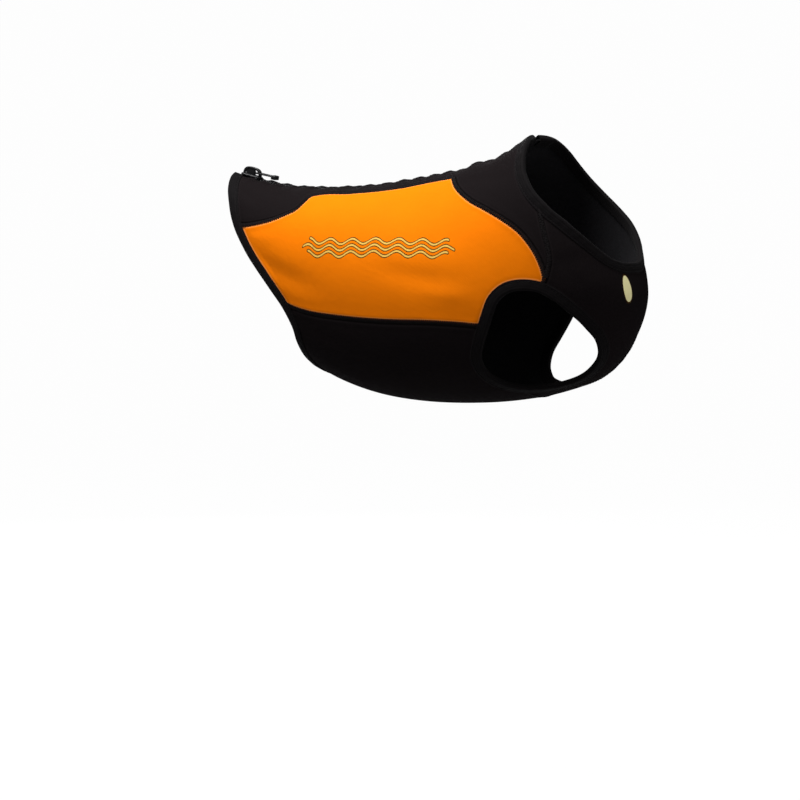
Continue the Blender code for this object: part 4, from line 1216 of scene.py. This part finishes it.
# %% Waves on the flank, and a plain oval on the chest
INK_SOFTNESS = 0.12 * MM
WAVE_PITCH, WAVE_SWING = 27 * MM, 2.6 * MM
LINE_PITCH = 6.2 * MM
BAND_HALF = 7.6 * MM
END_STAGGER = 1.1
LINE_HALF, LINE_EDGE = 0.95 * MM, 1.85 * MM
END_GAP = 1.0 * MM
OVAL_HALF, OVAL_EDGE = 8.4 * MM, 9.4 * MM
OVAL_PLACE, OVAL_STRETCH = (0.935, 166.0), 1.35
INK_OUTLINE, INK_ON_ORANGE, INK_ON_BLACK = "#3E2708", "#DDB458", "#F6EEB4"


def ink(tree, shader, cloth_colour, distance, fill_to, outline_to, colour):
    """Lays a dark outline and a fill over a material, out to two distances from the drawn line."""
    fill, outline = (
        add_node(tree, "ShaderNodeMapRange", {
            "Value": distance, "From Min": limit + INK_SOFTNESS, "From Max": limit - INK_SOFTNESS},
            interpolation_type="SMOOTHSTEP")
        for limit in (fill_to, outline_to))
    for tint, share in ((INK_OUTLINE, outline), (colour, fill)):
        mixed = add_node(tree, "ShaderNodeMix", {
            6: cloth_colour, 7: linear(tint), "Factor": share}, data_type="RGBA")
        cloth_colour = mixed.outputs[2]
    rough_from = shader.inputs["Roughness"].links[0].from_socket
    smooth = add_node(tree, "ShaderNodeMix", {
        "A": rough_from, "B": 0.45, "Factor": outline}, data_type="FLOAT")
    feed(tree, shader, Base_Color=cloth_colour, Roughness=smooth.outputs[0])


print_length = float(run(points_at(print_line))[-1])
print("printed length, mm:", round(print_length / MM))
tree, shader, colour = orange_parts
print_uv = add_node(tree, "ShaderNodeUVMap", uv_map="print")
axes = add_node(tree, "ShaderNodeSeparateXYZ", {0: print_uv}).outputs
step = {"x": axes["X"], "y": axes["Y"]}
for name, operation, *inputs in (
    ("phase", "MULTIPLY", "x", 2 * np.pi / WAVE_PITCH),
    ("wave", "SINE", "phase"),
    ("over wave", "MULTIPLY_ADD", "wave", -WAVE_SWING, "y"),
    ("to line", "PINGPONG", "over wave", LINE_PITCH / 2),
    ("reach", "ABSOLUTE", "over wave"),
    ("past band", "SUBTRACT", "reach", BAND_HALF),
    ("raised", "ADD", "over wave", LINE_PITCH / 2),
    ("which line", "SNAP", "raised", LINE_PITCH),
    ("line offset", "ABSOLUTE", "which line"),
    ("from middle", "SUBTRACT", "x", print_length / 2),
    ("from middle either way", "ABSOLUTE", "from middle"),
    ("staggered", "MULTIPLY_ADD", "line offset", END_STAGGER, "from middle either way"),
    ("past end", "SUBTRACT", "staggered", print_length / 2 - END_GAP),
    ("past end only", "MAXIMUM", "past end", 0.0),
):
    sources = {k: step[value] if isinstance(value, str) else value for k, value in enumerate(inputs)}
    step[name] = add_node(tree, "ShaderNodeMath", sources, operation=operation)
corner = add_node(tree, "ShaderNodeCombineXYZ", {"X": step["to line"], "Y": step["past end only"]})
round_end = add_node(tree, "ShaderNodeVectorMath", {0: corner}, operation="LENGTH")
shape = add_node(tree, "ShaderNodeMath", {
    0: round_end.outputs["Value"], 1: step["past band"]}, operation="MAXIMUM")
ink(tree, shader, colour, shape, LINE_HALF, LINE_EDGE, INK_ON_ORANGE)

tree, shader, colour = chest_parts
chest_uv = add_node(tree, "ShaderNodeUVMap", uv_map="cloth")
placed = add_node(tree, "ShaderNodeMapping", {
    "Vector": chest_uv, "Location": (*on_flat(*OVAL_PLACE) * MM, 0.0), "Scale": (OVAL_STRETCH, 1.0, 1.0)},
    vector_type="TEXTURE")
radius = add_node(tree, "ShaderNodeVectorMath", {0: placed}, operation="LENGTH")
ink(tree, shader, colour, radius.outputs["Value"], OVAL_HALF, OVAL_EDGE, INK_ON_BLACK)

# %% [markdown]
# ### Lining, tape and thread
# The inside is the same jersey in plain black. The binding is a knitted stretch tape with fine ribs
# across it, the zip's tape a dense herringbone weave, and the thread a bonded polyester with a
# slight lustre.

# %% Woven and knitted trims
def ribbed(name, colour, light, pitch_along, pitch_across, roughness, depth):
    """A narrow fabric whose ribs cross at two pitches in metres."""
    material, tree, shader = bare_material(name, colour, roughness, Sheen_Weight=0.02, Sheen_Roughness=0.5,
                                           Specular_IOR_Level=0.03)
    cloth_map = add_node(tree, "ShaderNodeUVMap", uv_map="cloth")
    ribs = add_node(tree, "ShaderNodeTexWave", {
        "Vector": cloth_map, "Scale": bands(pitch_along), "Distortion": 0.5,
        "Detail": 1.0}, bands_direction="X")
    picks = add_node(tree, "ShaderNodeTexWave", {
        "Vector": cloth_map, "Scale": bands(pitch_across), "Distortion": 0.3}, bands_direction="Y")
    weave = add_node(tree, "ShaderNodeMath", {
        0: ribs.outputs["Fac"], 1: picks.outputs["Fac"]}, operation="MULTIPLY")
    wash = add_node(tree, "ShaderNodeTexNoise", {"Vector": cloth_map, "Scale": 90.0, "Detail": 2.0})
    share = add_node(tree, "ShaderNodeMath", {0: weave, 1: wash}, operation="MULTIPLY")
    tone = add_node(tree, "ShaderNodeMix", {
        6: linear(colour), 7: linear(light), "Factor": share}, data_type="RGBA")
    bump = add_node(tree, "ShaderNodeBump", {"Height": weave, "Strength": 0.5, "Distance": depth})
    feed(tree, shader, Base_Color=tone.outputs[2], Normal=bump.outputs[0])
    return material


lining = ribbed("nylon jersey lining, black", "#1A191B", "#2A292B", 1.2 * MM, 1.6 * MM, 0.8, 0.2 * MM)
binding_cloth = ribbed(
    "knitted stretch tape, black", "#0D0B0C", "#191617", 1.0 * MM, 2.4 * MM, 0.7, 0.25 * MM)
zip_cloth = ribbed("herringbone zip tape, black", "#121113", "#222123", 0.9 * MM, 1.1 * MM, 0.7, 0.2 * MM)


def speckled(name, colour, light, roughness, metallic, scale, depth, **other):
    """A hard or thread finish with a fine random texture on the object's own coordinates."""
    material, tree, shader = bare_material(name, colour, roughness, metallic, **other)
    place = add_node(tree, "ShaderNodeTexCoord")
    grain = add_node(tree, "ShaderNodeTexNoise", {
        "Vector": place.outputs["Object"], "Scale": scale, "Detail": 4.0, "Roughness": 0.6})
    tone = add_node(tree, "ShaderNodeMix", {
        6: linear(colour), 7: linear(light), "Factor": grain}, data_type="RGBA")
    rough = add_node(tree, "ShaderNodeMapRange", {
        "Value": grain, "To Min": roughness - 0.08, "To Max": roughness + 0.1})
    bump = add_node(tree, "ShaderNodeBump", {"Height": grain, "Strength": 0.3, "Distance": depth})
    feed(tree, shader, Base_Color=tone.outputs[2], Roughness=rough.outputs[0], Normal=bump.outputs[0])
    return material


thread_finish = speckled("bonded polyester thread, black", "#0D0A0B", "#191516", 0.65, 0.0, 1400.0, 0.05 * MM,
                         Specular_IOR_Level=0.08)
acetal = speckled("moulded acetal, black", "#101012", "#19191B", 0.52, 0.0, 700.0, 0.04 * MM,
                  Specular_IOR_Level=0.3)
coated_zinc = speckled("lacquered cast zinc, black", "#121213", "#1D1D1F", 0.46, 0.4, 900.0, 0.05 * MM,
                       Coat_Weight=0.12, Coat_Roughness=0.3)

# %% Dress the pieces, and grow what repeats
for things, finishes in (
    ([panels["side_panel_right"], panels["side_panel_left"]], [orange_jersey, lining]),
    ([panels["chest_panel"]], [chest_jersey, lining]),
    ([panels["back_yoke_right"], panels["back_yoke_left"], panels["belly_panel"]], [black_jersey, lining]),
    (bindings.values(), [binding_cloth]),
    (tapes.values(), [zip_cloth]),
    ([slider, pull], [coated_zinc]),
    ([*stops.values(), retainer], [acetal]),
):
    for thing in things:
        for finish in finishes:
            thing.data.materials.append(finish)
ladder_thread = grow(points_with_directions("ladder points", ladders), stitch_tree, {
    "Length": 4.2 * MM, "Thread Radius": 0.42 * MM, "Rise": 0.9 * MM, "Material": thread_finish},
    "seam_stitches")
row_thread = grow(points_with_directions("row points", binding_rows + zip_rows), stitch_tree, {
    "Length": 2.5 * MM, "Thread Radius": 0.24 * MM, "Rise": 0.55 * MM, "Material": thread_finish},
    "row_stitches")
teeth = grow(points_with_directions("tooth points", [teeth_row]), tooth_tree, {
    "Material": acetal}, "zip_teeth")

# %% [markdown]
# ## Ties to the frame
# Every piece rides on a body, and each one that stands for a CAD node hides it.


sewn_and_cast = {**panels, **bindings, **tapes, **stops, "zip_box": retainer, "zip_slider": slider}
for name, thing in sewn_and_cast.items():
    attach(thing, "suit")
    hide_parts(name)
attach(pull, "pull_tab")
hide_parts("zip_pull")
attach(teeth, "suit")
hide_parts("zip_chain")
for thing in (ladder_thread, row_thread):
    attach(thing, "suit")

# %% [markdown]
# ## Stage, light and camera
# The vest is shown alone over a pale floor that curves up into a pale wall all round, so no horizon
# cuts the picture from any side. One large soft box hangs overhead and three weak ones fill from
# the front, the chest's side and the rear. The camera stands four metres off with a long lens, as a
# catalogue picture is taken.

# %% The sweep
FLOOR, FLOOR_REACH, CURVE, WALL_TOP = -0.60, 4.6, 2.2, 4.5
SPOKES = 96
profile = [(2.0, FLOOR), (FLOOR_REACH, FLOOR)]
profile += [(FLOOR_REACH + CURVE * np.sin(a), FLOOR + CURVE * (1 - np.cos(a)))
            for a in np.linspace(0.1, np.pi / 2, 14)]
profile.append((FLOOR_REACH + CURVE, WALL_TOP))
round_ = np.linspace(0, 2 * np.pi, SPOKES + 1)[:-1]
rings = np.array([[[r * np.cos(a), r * np.sin(a), z] for a in round_] for r, z in profile])
index = 1 + np.arange(rings.shape[0] * SPOKES).reshape(-1, SPOKES)
beside = np.roll(index, -1, 1)
quads = np.stack([index[:-1], beside[:-1], beside[1:], index[1:]], -1).reshape(-1, 4)
middle_fan = [(0, int(a), int(b)) for a, b in zip(index[0], beside[0])]
sweep_mesh = bpy.data.meshes.new("sweep")
sweep_mesh.from_pydata([(0, 0, FLOOR)] + rings.reshape(-1, 3).tolist(), [],
                       middle_fan + quads[:, ::-1].tolist())
sweep_mesh.shade_smooth()
sweep = add_object("sweep", sweep_mesh)
paper, tree, shader = bare_material("matt studio paper", "#8E8E8E", 0.9)
place = add_node(tree, "ShaderNodeTexCoord")
grain = add_node(tree, "ShaderNodeTexNoise", {"Vector": place.outputs["Object"], "Scale": 3.0, "Detail": 2.0})
tone = add_node(tree, "ShaderNodeMix", {
    6: linear("#909090"), 7: linear("#8C8C8D"), "Factor": grain}, data_type="RGBA")
feed(tree, shader, Base_Color=tone.outputs[2])
# The camera sees the paper as if lit from behind, so that it shows almost white
back_light = add_node(tree, "ShaderNodeEmission", {"Color": linear("#FFFFFF"), "Strength": 1.15})
seen = add_node(tree, "ShaderNodeLightPath")
share_seen = add_node(tree, "ShaderNodeMath", {
    0: seen.outputs["Is Camera Ray"], 1: 0.85}, operation="MULTIPLY")
lit_paper = add_node(tree, "ShaderNodeMixShader", {0: share_seen, 1: shader, 2: back_light})
tree.links.new(lit_paper.outputs[0], tree.nodes["Material Output"].inputs["Surface"])
sweep_mesh.materials.append(paper)


# %% Lights, world and camera
def soft_box(name, place, target, size, power):
    """A square area light in metres and watts, turned to its target."""
    light = bpy.data.lights.new(name, "AREA")
    light.shape = "SQUARE"
    light.size = size
    light.energy = power
    lamp = add_object(name, light)
    lamp.location = place
    lamp.rotation_euler = (Vector(target) - Vector(place)).to_track_quat("-Z", "Y").to_euler()


soft_box("overhead box", (-0.35, -0.72, 2.0), (0, 0, -0.05), 1.4, 104)
soft_box("front fill", (2.4, -2.6, 0.3), (0.05, 0, -0.1), 1.6, 8)
soft_box("chest fill", (2.8, 0.3, 0.2), (0.2, 0, -0.1), 1.2, 16)
soft_box("rear fill", (-1.9, 1.9, 0.5), (0, 0, -0.1), 1.6, 15)
world = bpy.data.worlds.new("studio air")
world.use_nodes = True
world.node_tree.nodes["Background"].inputs["Color"].default_value = (1, 1, 1, 1)
world.node_tree.nodes["Background"].inputs["Strength"].default_value = 0.10
bpy.context.scene.world = world
bpy.context.scene.view_settings.view_transform = "Standard"

AIM = Vector((0.0, 0.0, -0.216))
AZIMUTH, PITCH, DISTANCE = np.radians(30.0), np.radians(3.6), 4.0
camera_data = bpy.data.cameras.new("camera")
camera_data.lens = 180
camera_data.sensor_width = 36
camera = add_object("camera", camera_data)
level = np.cos(PITCH)
camera.location = AIM + DISTANCE * Vector((np.sin(AZIMUTH) * level, -np.cos(AZIMUTH) * level, np.sin(PITCH)))
camera.rotation_euler = (AIM - camera.location).to_track_quat("-Z", "Y").to_euler()
bpy.context.scene.camera = camera
